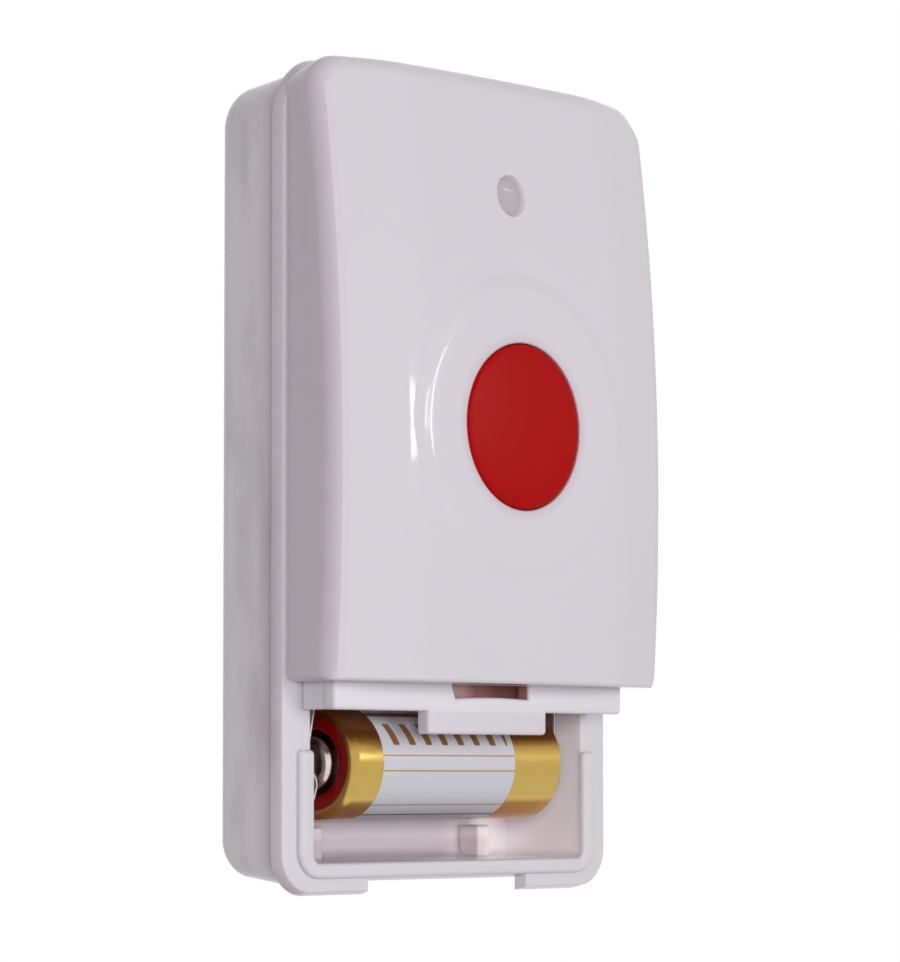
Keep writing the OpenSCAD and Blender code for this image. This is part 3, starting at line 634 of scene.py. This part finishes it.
def turn_ramp(tree, angle, interpolation):
    """The marks and the colours of a ramp over one turn about the battery."""
    span = tree.nodes.new("ShaderNodeMapRange")
    span.inputs["From Min"].default_value = -math.pi
    span.inputs["From Max"].default_value = math.pi
    tree.links.new(angle, span.inputs["Value"])
    ramp = tree.nodes.new("ShaderNodeValToRGB")
    ramp.color_ramp.interpolation = interpolation
    tree.links.new(span.outputs["Result"], ramp.inputs["Fac"])
    return ramp.color_ramp.elements, ramp.outputs["Color"]


def on_ramp(degrees):
    """Place on such a ramp of an angle from -180 to 180 degrees."""
    return (degrees + 180) / 360


def stripe_ramp(tree, angle, stripes, ground):
    """Colours round the battery: stripes are (middle, width, colour), angles in degrees."""
    marks, colours = turn_ramp(tree, angle, "CONSTANT")
    marks[0].position = 0.0
    marks[0].color = (*ground, 1.0)
    marks.remove(marks[1])
    for middle, width, colour in stripes:
        marks.new(on_ramp(middle - width / 2)).color = (*colour, 1.0)
        marks.new(on_ramp(middle + width / 2)).color = (*ground, 1.0)
    return colours


LINE_GOLD = (0.42, 0.22, 0.045)
LINE_DARK = (0.16, 0.085, 0.045)


def label_paint():
    """White printed film with thin gold rules along the battery and a row of plain slanted bars."""
    white = (0.60, 0.59, 0.645)
    material, tree, shader = paint("battery_white", white, 0.3)
    rules = [(58.0, 7.0, LINE_DARK), (7.3, 1.2, LINE_GOLD), (-8.7, 1.2, LINE_GOLD),
             (-47.5, 1.3, LINE_GOLD), (-65.5, 2.0, LINE_DARK)]
    angle = battery_angle(tree)
    tree.links.new(stripe_ramp(tree, angle, rules, white), shader.inputs["Base Color"])
    x, _, _ = axes_of(tree)
    pitch = 2.15
    lean = 0.22
    slant = maths(tree, "MULTIPLY", angle, lean * BATTERY_R / pitch)
    repeat = maths(tree, "FRACT", maths(tree, "MULTIPLY_ADD", x, 1 / (pitch * MM), slant))
    row = between(tree, angle, math.radians(19.0), math.radians(43.0), math.radians(0.6))
    bars = product(tree, row, between(tree, repeat, 0.30, 0.66, 0.03),
                   between(tree, x, -8.9 * MM, 6.9 * MM, 0.05 * MM))
    dye(tree, shader, bars, (0.42, 0.20, 0.06))
    vary(tree, shader, "Roughness", noise(tree, 500.0), 0.28, 0.32)
    relief(tree, shader, noise(tree, 300.0, 2.0), 0.05, 0.004)
    return material


# Colours round the battery in degrees: the gold film's own yellow in front, with painted reflections, bronze
# above and orange-brown below
GOLD_REFLECTION_TURN = [(-110.0, (0.40, 0.18, 0.045)), (-62.0, (0.78, 0.39, 0.100)), (-42.0, (0.70, 0.45, 0.125)),
             (-30.0, (0.57, 0.41, 0.110)), (10.0, (0.54, 0.37, 0.095)), (22.0, (0.42, 0.22, 0.042)),
             (32.0, (0.35, 0.135, 0.030)), (60.0, (0.36, 0.120, 0.032)), (110.0, (0.32, 0.13, 0.032))]


def gold_paint():
    """Gold printed film, with painted reflections that turn it to bronze above and below."""
    material, tree, shader = paint("battery_gold", (0.52, 0.34, 0.09), 0.3, 0.85)
    marks, colours = turn_ramp(tree, battery_angle(tree), "EASE")
    for (turn, colour), mark in zip((GOLD_REFLECTION_TURN[0], GOLD_REFLECTION_TURN[-1]), list(marks)):
        mark.position = on_ramp(turn)
        mark.color = (*colour, 1.0)
    for turn, colour in GOLD_REFLECTION_TURN[1:-1]:
        marks.new(on_ramp(turn)).color = (*colour, 1.0)
    tree.links.new(colours, shader.inputs["Base Color"])
    dye(tree, shader, noise(tree, 160.0, 2.0), (0.90, 0.86, 0.75))
    vary(tree, shader, "Roughness", noise(tree, 300.0), 0.20, 0.28)
    relief(tree, shader, noise(tree, 600.0, 3.0), 0.08, 0.006)
    return material


board_green = board_paint()
battery_white = label_paint()
battery_gold = gold_paint()

CARRIED = {
    "case_screws": screw_steel, "board_screws": screw_steel, "switch_base": black_plastic,
    "switch_frame": bright_steel, "switch_plunger": black_plastic, "switch_dome": bright_steel,
    "switch_legs": bright_steel, "circuit_board": board_green, "encoder_chip": black_plastic,
    "chip_leads": bright_steel, "resonator_can": bright_steel, "radio_transistor": black_plastic,
    "transistor_leads": bright_steel, "chip_resistors": black_plastic, "chip_capacitors": tan_ceramic,
    "antenna_track": copper, "lamp_lens": lamp_red, "lamp_legs": bright_steel, "battery_can": groove_shade_metal,
    "battery_base": battery_metal,
}
for carried, material in CARRIED.items():
    nodes[carried].data.materials.clear()
    nodes[carried].data.materials.append(material)


# Front cover

def crown(height):
    d = height - CASE_H / 2
    return CROWN_R - math.sqrt(CROWN_R * CROWN_R - d * d)


def band(x):
    """How far the side bands fall back, with a soft crease at the panel's edge."""
    slope = SIDE_FALL / (COVER_W / 2 - PANEL_W / 2)
    past = abs(x) - PANEL_W / 2
    if past <= -CREASE_SOFT:
        return 0.0
    if past >= CREASE_SOFT:
        return slope * past
    return slope * (past + CREASE_SOFT) ** 2 / (4 * CREASE_SOFT)


PAD_FRONT = CROWN_Y + crown(BUTTON_UP) - PAD_RISE


def front_y(x, height):
    """The cover's front, with the flat pad and the lamp's dimple."""
    y = CROWN_Y + crown(height) + band(x)
    out = math.hypot(x, height - BUTTON_UP)
    y += (PAD_FRONT - y) * smooth(out, PAD_R + PAD_SOFT, PAD_R - PAD_SOFT)
    aside = math.hypot(x, height - LAMP_UP) / DIMPLE_R
    if aside < 1:
        y += DIMPLE_DEEP * (1 - aside * aside) ** 0.4
    return y


def outline_reach(angle, side, top, low):
    """Distance from the button's middle to the cover's outline, moved in at the sides, the top and below."""
    c = abs(math.cos(angle))
    s = math.sin(angle)
    w = COVER_W / 2 - side
    if s >= 0:
        end = COVER_TOP - top - BUTTON_UP
        end -= TOP_ARC * min(w, end * c / max(s, 1e-9)) ** 2
        rx = COVER_CORNER - side
        rz = COVER_CORNER - top
    else:
        end = BUTTON_UP - COVER_LOW - low
        rx = LOW_CORNER
        rz = LOW_CORNER
    s = abs(s)
    reach = min(w / max(c, 1e-9), end / max(s, 1e-9))
    mx = w - rx
    mz = end - rz
    if reach * c > mx and reach * s > mz:
        squares = (c / rx) ** 2 + (s / rz) ** 2
        middle = (c * mx / rx ** 2 + s * mz / rz ** 2) / squares
        rest = ((mx / rx) ** 2 + (mz / rz) ** 2 - 1) / squares
        reach = middle + math.sqrt(max(0.0, middle * middle - rest))
    return reach


def edge_reach(angle, share):
    """The outline on its way in over the front edge's rounding."""
    return outline_reach(angle, SIDE_ROUND * share, TOP_ROUND * share, LOW_ROUND * share)


def shell_reach(angle, d):
    return outline_reach(angle, d, d, d)


def edge_step(angle, t):
    """Inset and depth on the way over the front edge, from t = 0 in front to 1 at the side.

    The sides bend round and are cut off by the front. The top is fully round, the lower edge nearly square.
    """
    c = abs(math.cos(angle))
    s = math.sin(angle)
    if s >= 0:
        first = math.atan2(COVER_TOP - COVER_CORNER - BUTTON_UP, COVER_W / 2)
        last = math.atan2(COVER_TOP - BUTTON_UP, COVER_W / 2 - COVER_CORNER)
        away = smooth(math.atan2(s, c), first, last)
        radius = TOP_ROUND
    else:
        corner = math.atan2(BUTTON_UP - COVER_LOW, COVER_W / 2)
        away = smooth(math.atan2(-s, c), corner - 0.02, corner + 0.02)
        radius = LOW_ROUND
    turn = SIDE_CUT + (math.pi / 2 - SIDE_CUT) * t
    bend = (1 - math.sin(turn)) / (1 - math.sin(SIDE_CUT))
    bend_depth = SIDE_BEND * (math.cos(SIDE_CUT) - math.cos(turn))
    quarter = math.pi / 2 * t
    share = bend + (1 - math.sin(quarter) - bend) * away
    depth = bend_depth + (radius * (1 - math.cos(quarter)) - bend_depth) * away
    return share, depth


def cover_angles():
    """Rays from the button's middle, closer together at the lower corners and over the lamp."""
    angles = {2 * math.pi * k / 480 for k in range(480)}
    angles |= {math.pi / 2 + math.radians(0.3 * k) for k in range(-22, 23)}
    corner = math.atan2(BUTTON_UP - COVER_LOW, COVER_W / 2)
    for k in range(-8, 9):
        angles.add(2 * math.pi - corner + 0.003 * k)
        angles.add(math.pi + corner + 0.003 * k)
    return sorted(angles)


def make_cover():
    shape = Shape()
    angles = cover_angles()
    plain = PAD_R + PAD_SOFT + 0.1

    def ring_at(reach, y_of):
        ring = []
        for a in angles:
            r = reach(a)
            x = r * math.cos(a)
            h = BUTTON_UP + r * math.sin(a)
            ring.append((x, y_of(a, x, h), up(h)))
        return ring

    def front_ring(reach):
        return ring_at(reach, lambda a, x, h: front_y(x, h))

    def inner_y(deeper):
        return lambda a, x, h: front_y(x, h) + COVER_WALL + deeper

    hole_edge = 0.03
    edge_steps = 4
    rings = [ring_at(lambda a: HOLE_R, lambda a, x, h: PAD_BACK)]
    for k in range(edge_steps + 1):
        t = math.pi / 2 * k / edge_steps
        rings.append(ring_at(lambda a: HOLE_R + hole_edge * (1 - math.cos(t)),
                             lambda a, x, h: PAD_FRONT + hole_edge * (1 - math.sin(t))))
    for r in (HOLE_R + 0.08, 8.4, 9.4, 10.4, 11.4):
        rings.append(front_ring(lambda a: r))
    rim_steps = 16
    for k in range(rim_steps + 1):
        r = PAD_R - PAD_SOFT + (2 * PAD_SOFT + 0.1) * k / rim_steps
        rings.append(front_ring(lambda a: r))
    shares = [0.02 * k for k in range(1, 14)]
    shares += [0.275 + 0.0068 * k for k in range(48)]
    shares += [0.62 + 0.019 * k for k in range(20)]
    for t in shares:
        rings.append(front_ring(lambda a: plain + t * (edge_reach(a, 1.0) - plain)))
    round_steps = 8
    for k in range(round_steps + 1):
        t = k / round_steps
        rings.append(ring_at(lambda a: edge_reach(a, edge_step(a, t)[0]),
                             lambda a, x, h: front_y(x, h) + edge_step(a, t)[1]))
    rim_y = [y for _, y, _ in rings[-1]]
    for share in (0.25, 0.5, 0.75, 1.0):
        lean = COVER_LEAN * share
        ring = ring_at(lambda a: outline_reach(a, lean, lean, 0.0), lambda a, x, h: COVER_SEAM)
        rings.append([(x, y + (COVER_SEAM - y) * share, z) for (x, _, z), y in zip(ring, rim_y)])
    foot = COVER_WALL + COVER_LEAN
    rings.append(ring_at(lambda a: outline_reach(a, foot, foot, COVER_WALL), lambda a, x, h: COVER_SEAM))
    inner_round = 0.6
    rings.append(ring_at(lambda a: shell_reach(a, COVER_WALL + inner_round / 2), inner_y(inner_round)))
    for share in (1.0, 0.75, 0.5, 0.25, 0.0):
        rings.append(ring_at(lambda a: plain + share * (shell_reach(a, COVER_WALL + inner_round) - plain),
                             inner_y(0.0)))
    rings.append(ring_at(lambda a: PAD_R, lambda a, x, h: PAD_BACK))
    made = shape.loft(rings)
    shape.bridge(made[-1], made[0])
    for place in PILLARS:
        end = front_y(*place) + COVER_WALL + 0.8
        tube(shape, place, THREAD_R, COVER_PILLAR_R, FLANGE_FRONT, end)
    shape.piece("cover_shell", "case", "case_plastic", case_plastic, ["front_cover"])


def make_strip():
    half = STRIP_W / 2
    top = COVER_LOW + 0.6
    back = STRIP_FRONT + STRIP_WALL
    outline = filleted([
        (-half, STRIP_LOW, 0.4), (TONGUE[0], STRIP_LOW, 0.12), (TONGUE[0], TONGUE_LOW, 0.4),
        (TONGUE[1], TONGUE_LOW, 0.4), (TONGUE[1], STRIP_LOW, 0.12), (half, STRIP_LOW, 0.45), (half, top, 0),
        (-half, top, 0)])
    arch = 0.15
    slant = 0.5
    sill = []
    sill_steps = 10
    for k in range(1, sill_steps):
        u = 2 * k / sill_steps - 1
        x = (SLOT[0] + SLOT[1] + slant) / 2 - u * (SLOT[1] - SLOT[0] - slant) / 2
        sill.append((x, SLOT_Z[0] + arch * (1 - u * u), 0))
    slot_r = 0.12
    slot = filleted([(SLOT[0] + slant, SLOT_Z[0], slot_r), (SLOT[0], SLOT_Z[1], slot_r),
                     (SLOT[1], SLOT_Z[1], slot_r), (SLOT[1], SLOT_Z[0], slot_r)] + sill)
    shape = plate(Shape(), outline, [slot], STRIP_FRONT, back, 0.35)
    shape.piece("cover_ledge", "case", "case_plastic", case_plastic, ["front_cover"])
    thick = half - CAVITY_W / 2
    inset = 0.02
    front = STRIP_FRONT + 0.6
    ends = blocks([(-half + inset, -half + thick, front, FLANGE_FRONT, STRIP_LOW + inset, top),
                   (half - thick, half - inset, front, FLANGE_FRONT, STRIP_LOW + inset, top)])
    soften(ends.piece("ledge_ends", "case", "case_plastic", case_plastic, ["front_cover"]), 0.3)


# Back case

def notched(half, low, high, r, low_r, notch_top, widen):
    """The case's outline, with rounder corners above than below and the notch in its lower edge."""
    first = NOTCH[0] - widen
    last = NOTCH[1] + widen
    return filleted([(half, low, low_r), (half, high, r), (-half, high, r), (-half, low, low_r),
                     (first, low, 0), (first, notch_top, 0), (last, notch_top, 0), (last, low, 0)], 16)


def make_case():
    shape = Shape()
    outline = notched(CASE_W / 2, 0.0, CASE_H, CASE_CORNER, LOWER_CORNER, NOTCH_H, 0.0)
    front_rings = edge_rings(inset_loop(outline, FLANGE_DRAFT), FLANGE_FRONT, FLANGE_EDGE, 1)
    back_rings = edge_rings(outline, FLANGE_BACK, FLANGE_BACK_EDGE, -1, 2)
    made = shape.loft(front_rings + back_rings[::-1])

    def tray_ring(depth, inset):
        edge = TRAY_STEP + inset
        low = TRAY_LOW + inset
        low_r = LOWER_CORNER - 0.6 * inset
        notch_top = max(NOTCH_H + 0.12, low + 0.03)
        widen = 5.0
        loop = notched(CASE_W / 2 - edge, low, CASE_H - edge, CASE_CORNER - edge, low_r, notch_top, widen)
        return at_y(loop, FLANGE_BACK + depth)

    def bore(place, outline):
        return shape.loft([at_y(circle_loop(place, r), y) for r, y in outline])

    straight = TRAY_D - TRAY_ROUND
    rings = [tray_ring(0.0, 0.0)]
    for share in (0.25, 0.5, 0.75):
        rings.append(tray_ring(straight * share, TRAY_DRAFT * share))
    round_steps = 12
    for k in range(round_steps + 1):
        a = math.pi / 2 * k / round_steps
        inset = TRAY_DRAFT + TRAY_ROUND * (1 - math.cos(a))
        rings.append(tray_ring(straight + TRAY_ROUND * math.sin(a), inset))
    tray = shape.loft(rings)
    shape.fill(made[-1], tray[0])

    holes = []
    for place in PILLARS:
        well = bore(place, [(SCREW_HEAD_R + HOLE_MOUTH, 0.0), (SCREW_HEAD_R, -HOLE_MOUTH),
                            (SCREW_HEAD_R, SCREW_SEAT), (SCREW_R, SCREW_SEAT), (SCREW_R, SCREW_END)])
        shape.cap(well[-1])
        holes.append(well[0])
    ways = []
    for place in WALL_HOLES:
        way = bore(place, [(WALL_HOLE_R + HOLE_MOUTH, 0.0), (WALL_HOLE_R, -HOLE_MOUTH),
                           (WALL_HOLE_R, FLOOR_Y)])
        holes.append(way[0])
        ways.append(way[-1])
    shape.fill(tray[-1], *holes)

    cavity = rounded_loop(CAVITY_W, CAVITY_LOW, CAVITY_TOP, 2.0)
    inside = shape.loft([at_y(cavity, FLANGE_FRONT), at_y(cavity, FLOOR_Y)])
    shape.fill(inside[-1], *ways)

    bay_rings = []
    for y, inset in ((FLANGE_FRONT, 0.0), (-8.0, 0.02), (-5.0, 0.1), (-2.2, 0.2), (-1.7, 0.26), (-1.35, 0.42),
                     (-1.1, 0.7), (FLOOR_Y, 1.1)):
        loop = rounded_loop(CAVITY_W - inset, BAY_LOW + inset, BAY_HIGH, 0.8 + inset / 2)
        bay_rings.append(at_y(loop, y))
    bay = shape.loft(bay_rings)
    shape.cap(bay[-1])
    shape.fill(made[0], inside[0], bay[0])

    foot = FLOOR_Y - 0.01
    for place in PILLARS:
        tube(shape, place, SCREW_R, PILLAR_R, FLANGE_FRONT + 0.02, foot)
    for place in POSTS:
        tube(shape, place, THREAD_R, POST_R, POST_FRONT, foot)
    shape.piece("case_shell", "case", "case_plastic", case_plastic, ["back_case"])


def make_lip():
    spread = 0.18
    out = CAVITY_W / 2 + LIP_W + spread
    inner = CAVITY_W / 2 - spread
    low = BAY_LOW - LIP_W
    end_r = 0.45
    loop = filleted([(out, low, LIP_CORNER), (out, LIP_TOP, end_r), (inner, LIP_TOP, end_r),
                     (inner, BAY_LOW, 0.8), (-inner, BAY_LOW, 0.8), (-inner, LIP_TOP, end_r),
                     (-out, LIP_TOP, end_r), (-out, low, LIP_CORNER)], 8)
    sunk = 0.15
    shape = plate(Shape(), loop, [], FLANGE_FRONT - LIP_H, FLANGE_FRONT + sunk, 0.45)
    shape.piece("bay_lip", "case", "case_plastic", case_plastic, ["back_case"])


def make_ribs():
    ribs = []
    sunk = 0.02
    for x, half in RIBS:
        ribs.append((x - half, x + half, RIB_FRONT, FLOOR_Y + sunk, BAY_LOW - sunk, RIB_TOP))
    soften(blocks(ribs).piece("bay_ribs", "case", "case_plastic", case_plastic, ["back_case"]), 0.3)


make_cover()
make_strip()
make_case()
make_lip()
make_ribs()


# Button

def make_button():
    gap = 0.07
    r = HOLE_R - gap
    face = PAD_FRONT + BUTTON_SUNK
    rise = 0.12
    rim = 0.3
    collar = PAD_BACK + 0.12
    plunger_tip = -13.8
    outline = [(0.02, face - rise)]
    crown_steps = 8
    for k in range(1, crown_steps + 1):
        x = (r - rim) * k / crown_steps
        outline.append((x, face - rise * (1 - (x / (r - rim)) ** 2)))
    outline += arc(r - rim, face + rim, rim, -90, 0, 6)[1:]
    collar_r = r + 1.3
    collar_back = collar + 0.8
    stem_r = 1.8
    outline += [(r, collar), (collar_r, collar), (collar_r, collar_back), (stem_r, collar_back),
                (stem_r, plunger_tip), (0.02, plunger_tip)]
    shape = turned(Shape(), outline, (0.0, BUTTON_UP), "Y", 128)
    shape.piece("button_face", "button", "button_red", button_red, ["button_cap"])


make_button()


# Battery and contacts

AXIS = (BATTERY_Y, BATTERY_UP)


def make_battery():
    r = BATTERY_R
    can_r = r - 0.2
    groove = r - 0.1
    shoulder = 0.85
    outline = [(can_r, BATTERY_END - 0.15), (r - 0.15, BATTERY_END - 0.15), (r, BATTERY_END - 0.3)]
    outline += [(r, x) for x in (12.0, 10.0)]
    outline += [(r, LABEL[1]), (groove, LABEL[1]), (groove, LABEL[0]), (r, LABEL[0])]
    outline += arc(r - shoulder, CAN_END + shoulder, shoulder, 0, -90, 10)
    outline += [(r - shoulder - 0.04, CAN_END + 0.01), (r - shoulder - 0.05, CAN_END + 0.3),
                (can_r - 0.45, CAN_END + 0.35), (can_r - 0.02, CAN_END + 1.0)]
    sleeve = turned(Shape(), outline, AXIS, "X", 128, True)
    sleeve.piece("battery_wrap", "battery", "battery_gold", battery_gold, ["battery_sleeve"], 40)

    gap = 0.01
    outline = [(groove + gap, LABEL[0] + gap), (r, LABEL[0] + gap), (r, LABEL[1] - gap),
               (groove + gap, LABEL[1] - gap)]
    label = turned(Shape(), outline, AXIS, "X", 128, True)
    label.piece("battery_print", "battery", "battery_white", battery_white, ["battery_label"])

    ring = [(2.95, CAN_END + 0.5), (2.95, CAN_END + 0.2)]
    ring += arc(3.15, CAN_END + 0.2, 0.2, 180, 270, 4)[1:]
    ring += [(3.6, CAN_END - 0.02), (4.0, CAN_END + 0.02), (4.25, CAN_END + 0.08), (4.25, CAN_END + 0.5)]
    insulator = turned(Shape(), ring, AXIS, "X", 96, True)
    insulator.piece("battery_ring", "battery", "insulator_red", insulator_red, ["battery_insulator"], 50)

    cap_r = 2.5
    cap_round = 0.8
    cap = [(0.02, CAN_END + 0.45), (cap_r, CAN_END + 0.45), (cap_r, CAN_END + 0.1)]
    cap += arc(cap_r - cap_round, BATTERY_TIP + cap_round, cap_round, 0, -90, 8)
    cap += [(1.2, BATTERY_TIP), (0.02, BATTERY_TIP)]
    nipple = turned(Shape(), cap, AXIS, "X", 96)
    nipple.piece("battery_nipple", "battery", "battery_metal", battery_metal, ["battery_cap"], 50)


def bend(points, r, steps=5):
    """A path with each inner corner rounded."""
    path = [points[0]]
    for before, here, after in zip(points, points[1:], points[2:]):
        a = Vector(before) - Vector(here)
        b = Vector(after) - Vector(here)
        cut = min(r, a.length / 2.2, b.length / 2.2)
        start = Vector(here) + a.normalized() * cut
        stop = Vector(here) + b.normalized() * cut
        for k in range(steps + 1):
            t = k / steps
            path.append(tuple(start * (1 - t) ** 2 + Vector(here) * 2 * t * (1 - t) + stop * t * t))
    path.append(points[-1])
    return path


def strip_piece(shape, path, thick, width, y):
    """A bent metal strip: path in X and height, width along Y about the level y."""
    corner = 0.06
    t = thick / 2
    w = width / 2
    across = [(-t, corner - w), (corner - t, -w), (t - corner, -w), (t, corner - w),
              (t, w - corner), (t - corner, w), (corner - t, w), (-t, w - corner)]
    rings = []
    for i, here in enumerate(path):
        before = path[max(0, i - 1)]
        after = path[min(len(path) - 1, i + 1)]
        along = Vector((after[0] - before[0], after[1] - before[1])).normalized()
        rings.append([(here[0] - along.y * a, y + b, up(here[1] + along.x * a)) for a, b in across])
    made = shape.loft(rings)
    shape.cap(made[0])
    shape.cap(made[-1])
    return shape


CONTACT_ROOF = CAVITY_LOW + CONTACT_T / 2


def make_leaf():
    leaf_x = BATTERY_TIP - 0.15 - CONTACT_T / 2
    leaf_top = leaf_x - 0.4
    leaf = [(leaf_top + TAB_REACH, CONTACT_ROOF), (leaf_top, CONTACT_ROOF), (leaf_top, 17.5),
            (leaf_top - 1.1, BATTERY_UP + 0.25), (leaf_x, BATTERY_UP - 1.75),
            (leaf_x - 0.65, BATTERY_UP - 3.35)]
    shape = strip_piece(Shape(), bend(leaf, 0.7), CONTACT_T, CONTACT_W, BATTERY_Y)
    shape.piece("positive_leaf", "case", "contact_metal", contact_metal, ["positive_contact"], 50)


def make_plate():
    x = CAVITY_W / 2 - CONTACT_T / 2 - 0.01
    tab = [(x - TAB_REACH, CONTACT_ROOF), (x, CONTACT_ROOF), (x, BATTERY_UP + 1.6)]
    shape = strip_piece(Shape(), bend(tab, 0.4), CONTACT_T, TAB_W, BATTERY_Y)
    shape.piece("negative_tab", "case", "contact_metal", contact_metal, ["negative_contact"], 50)
    seat = blocks([(x - CONTACT_T / 2, x + CONTACT_T / 2, BATTERY_Y - 1.4, BATTERY_Y + 1.4,
                    BATTERY_UP - 1.9, BATTERY_UP + 1.9)])
    piece = seat.piece("negative_plate", "case", "contact_metal", contact_metal, ["negative_contact"])
    soften(piece, 0.08, 2)


def make_coil():
    wire = 0.225
    start = CAVITY_W / 2 - CONTACT_T - wire - 0.02
    stop = BATTERY_END + 0.15 + wire
    turns = 2.75
    count = 100
    wide = 1.9
    narrow = 1.5
    middle = Vector((0.0, BATTERY_Y, up(BATTERY_UP)))
    points = []
    for k in range(count + 1):
        s = k / count
        a = 2 * math.pi * turns * s
        r = wide + (narrow - wide) * s
        points.append(middle + Vector((start + (stop - start) * s, r * math.cos(a), r * math.sin(a))))
    shape = Shape()
    rings = []
    sides = 10
    for k, p in enumerate(points):
        along = (points[min(count, k + 1)] - points[max(0, k - 1)]).normalized()
        out = p - middle
        out.x = 0.0
        side = along.cross(out.normalized()).normalized()
        rise = side.cross(along)
        around = [2 * math.pi * i / sides for i in range(sides)]
        rings.append([tuple(p + wire * (math.cos(a) * rise + math.sin(a) * side)) for a in around])
    made = shape.loft(rings)
    shape.cap(made[0])
    shape.cap(made[-1])
    shape.piece("negative_coil", "case", "contact_metal", contact_metal, ["negative_spring"], 60)


make_battery()
make_leaf()
make_plate()
make_coil()


# Camera, floor and light

def look_at(thing, place, target, roll=0.0):
    forward = (target - place).normalized()
    turn = forward.to_track_quat("-Z", "Y").to_matrix().to_4x4()
    thing.matrix_world = Matrix.Translation(place) @ turn @ Matrix.Rotation(roll, 4, "Z")


CAMERA_AT = Vector((-271.82, -263.89, -27.38))
CAMERA_AIM = Vector((0.011, -10.4, 0.246))
CAMERA_ROLL = math.radians(-0.05)
camera = bpy.data.objects.new("camera", bpy.data.cameras.new("camera"))
scene.collection.objects.link(camera)
camera.data.sensor_width = 36.0
camera.data.lens = 151.14
camera.data.clip_start = 0.01
look_at(camera, CAMERA_AT * MM, CAMERA_AIM * MM, CAMERA_ROLL)
scene.camera = camera

FLOOR_MIDDLE = (0.0, -10.0)
FLOOR_R = 50.0
FLOOR_LOW = -12.0
FLOOR_SIDES = 64
floor_mesh = bpy.data.meshes.new("floor")
rim = [(x * MM, y * MM, up(FLOOR_LOW) * MM) for x, y in circle_loop(FLOOR_MIDDLE, FLOOR_R, FLOOR_SIDES)]
floor_mesh.from_pydata(rim, [], [tuple(range(FLOOR_SIDES))])
floor = bpy.data.objects.new("floor", floor_mesh)
scene.collection.objects.link(floor)


def seen_rays(tree):
    """1 for rays that show a surface to the camera, straight, mirrored or through glass, and else 0."""
    ray = tree.nodes.new("ShaderNodeLightPath").outputs
    seen = maths(tree, "MAXIMUM", ray["Is Camera Ray"], ray["Is Glossy Ray"])
    return maths(tree, "MAXIMUM", seen, ray["Is Transmission Ray"])


def floor_paint():
    """Pale floor that the camera sees as white with a faint shadow."""
    material, tree, shader = paint("floor_pale", (0.80, 0.80, 0.80), 0.9)
    glow = tree.nodes.new("ShaderNodeEmission")
    glow.inputs["Strength"].default_value = 1.02
    mix = tree.nodes.new("ShaderNodeMixShader")
    tree.links.new(maths(tree, "MULTIPLY", seen_rays(tree), 0.96), mix.inputs["Fac"])
    tree.links.new(shader.outputs["BSDF"], mix.inputs[1])
    tree.links.new(glow.outputs["Emission"], mix.inputs[2])
    tree.links.new(mix.outputs["Shader"], tree.nodes["Material Output"].inputs["Surface"])
    return material


floor_mesh.materials.append(floor_paint())

# White for what the camera and shiny surfaces see, and a weak even light on the object
LIGHT_ROUND = 0.22
world = bpy.data.worlds.new("studio")
scene.world = world
world.use_nodes = True
background = world.node_tree.nodes["Background"]
background.inputs["Color"].default_value = (1.0, 1.0, 1.0, 1.0)
vary(world.node_tree, background, "Strength", seen_rays(world.node_tree), LIGHT_ROUND, 1.0)

MIDDLE = Vector((0.0, -0.010, 0.0))


def seen_from(target, azimuth, elevation, distance):
    """A place at that distance from the target, with azimuth 0 in front and 90 on the right."""
    a = math.radians(azimuth)
    e = math.radians(elevation)
    return target + distance * Vector((math.sin(a) * math.cos(e), -math.cos(a) * math.cos(e), math.sin(e)))


def lamp(name, place, size, power, target=MIDDLE):
    light = bpy.data.lights.new(name, "AREA")
    light.shape = "RECTANGLE"
    light.size = size[0]
    light.size_y = size[1]
    light.energy = power
    thing = bpy.data.objects.new(name, light)
    scene.collection.objects.link(thing)
    look_at(thing, place, target)
    return thing


# Two soft lamps that shiny surfaces don't mirror, one on each side of the front
LAMP_AWAY = 0.7
lamp("left", seen_from(MIDDLE, -42.0, 3.0, LAMP_AWAY), (0.20, 0.20), 2.15).visible_glossy = False
lamp("right", seen_from(MIDDLE, 11.0, 4.0, LAMP_AWAY), (0.30, 0.30), 1.98).visible_glossy = False

# A thin bright frame that only mirrors, seen in the crease left of the button and on the battery
GLINT = Vector((-0.0140, -0.0193, 0.0052))
GLINT_AWAY = 0.5
for name, azimuth, elevation, size, glow in (
        ("pane_left", 27.0, 6.7, (0.026, 0.036), 10.0), ("pane_right", 44.0, 6.2, (0.024, 0.040), 10.0),
        ("pane_top", 35.5, 8.5, (0.160, 0.004), 7.0), ("pane_low", 35.5, 4.9, (0.160, 0.004), 7.0),
        ("pane_glass", 35.5, 6.7, (0.120, 0.028), 1.0)):
    power = glow * math.pi * size[0] * size[1]
    lamp(name, seen_from(GLINT, azimuth, elevation, GLINT_AWAY), size, power, GLINT).visible_diffuse = False
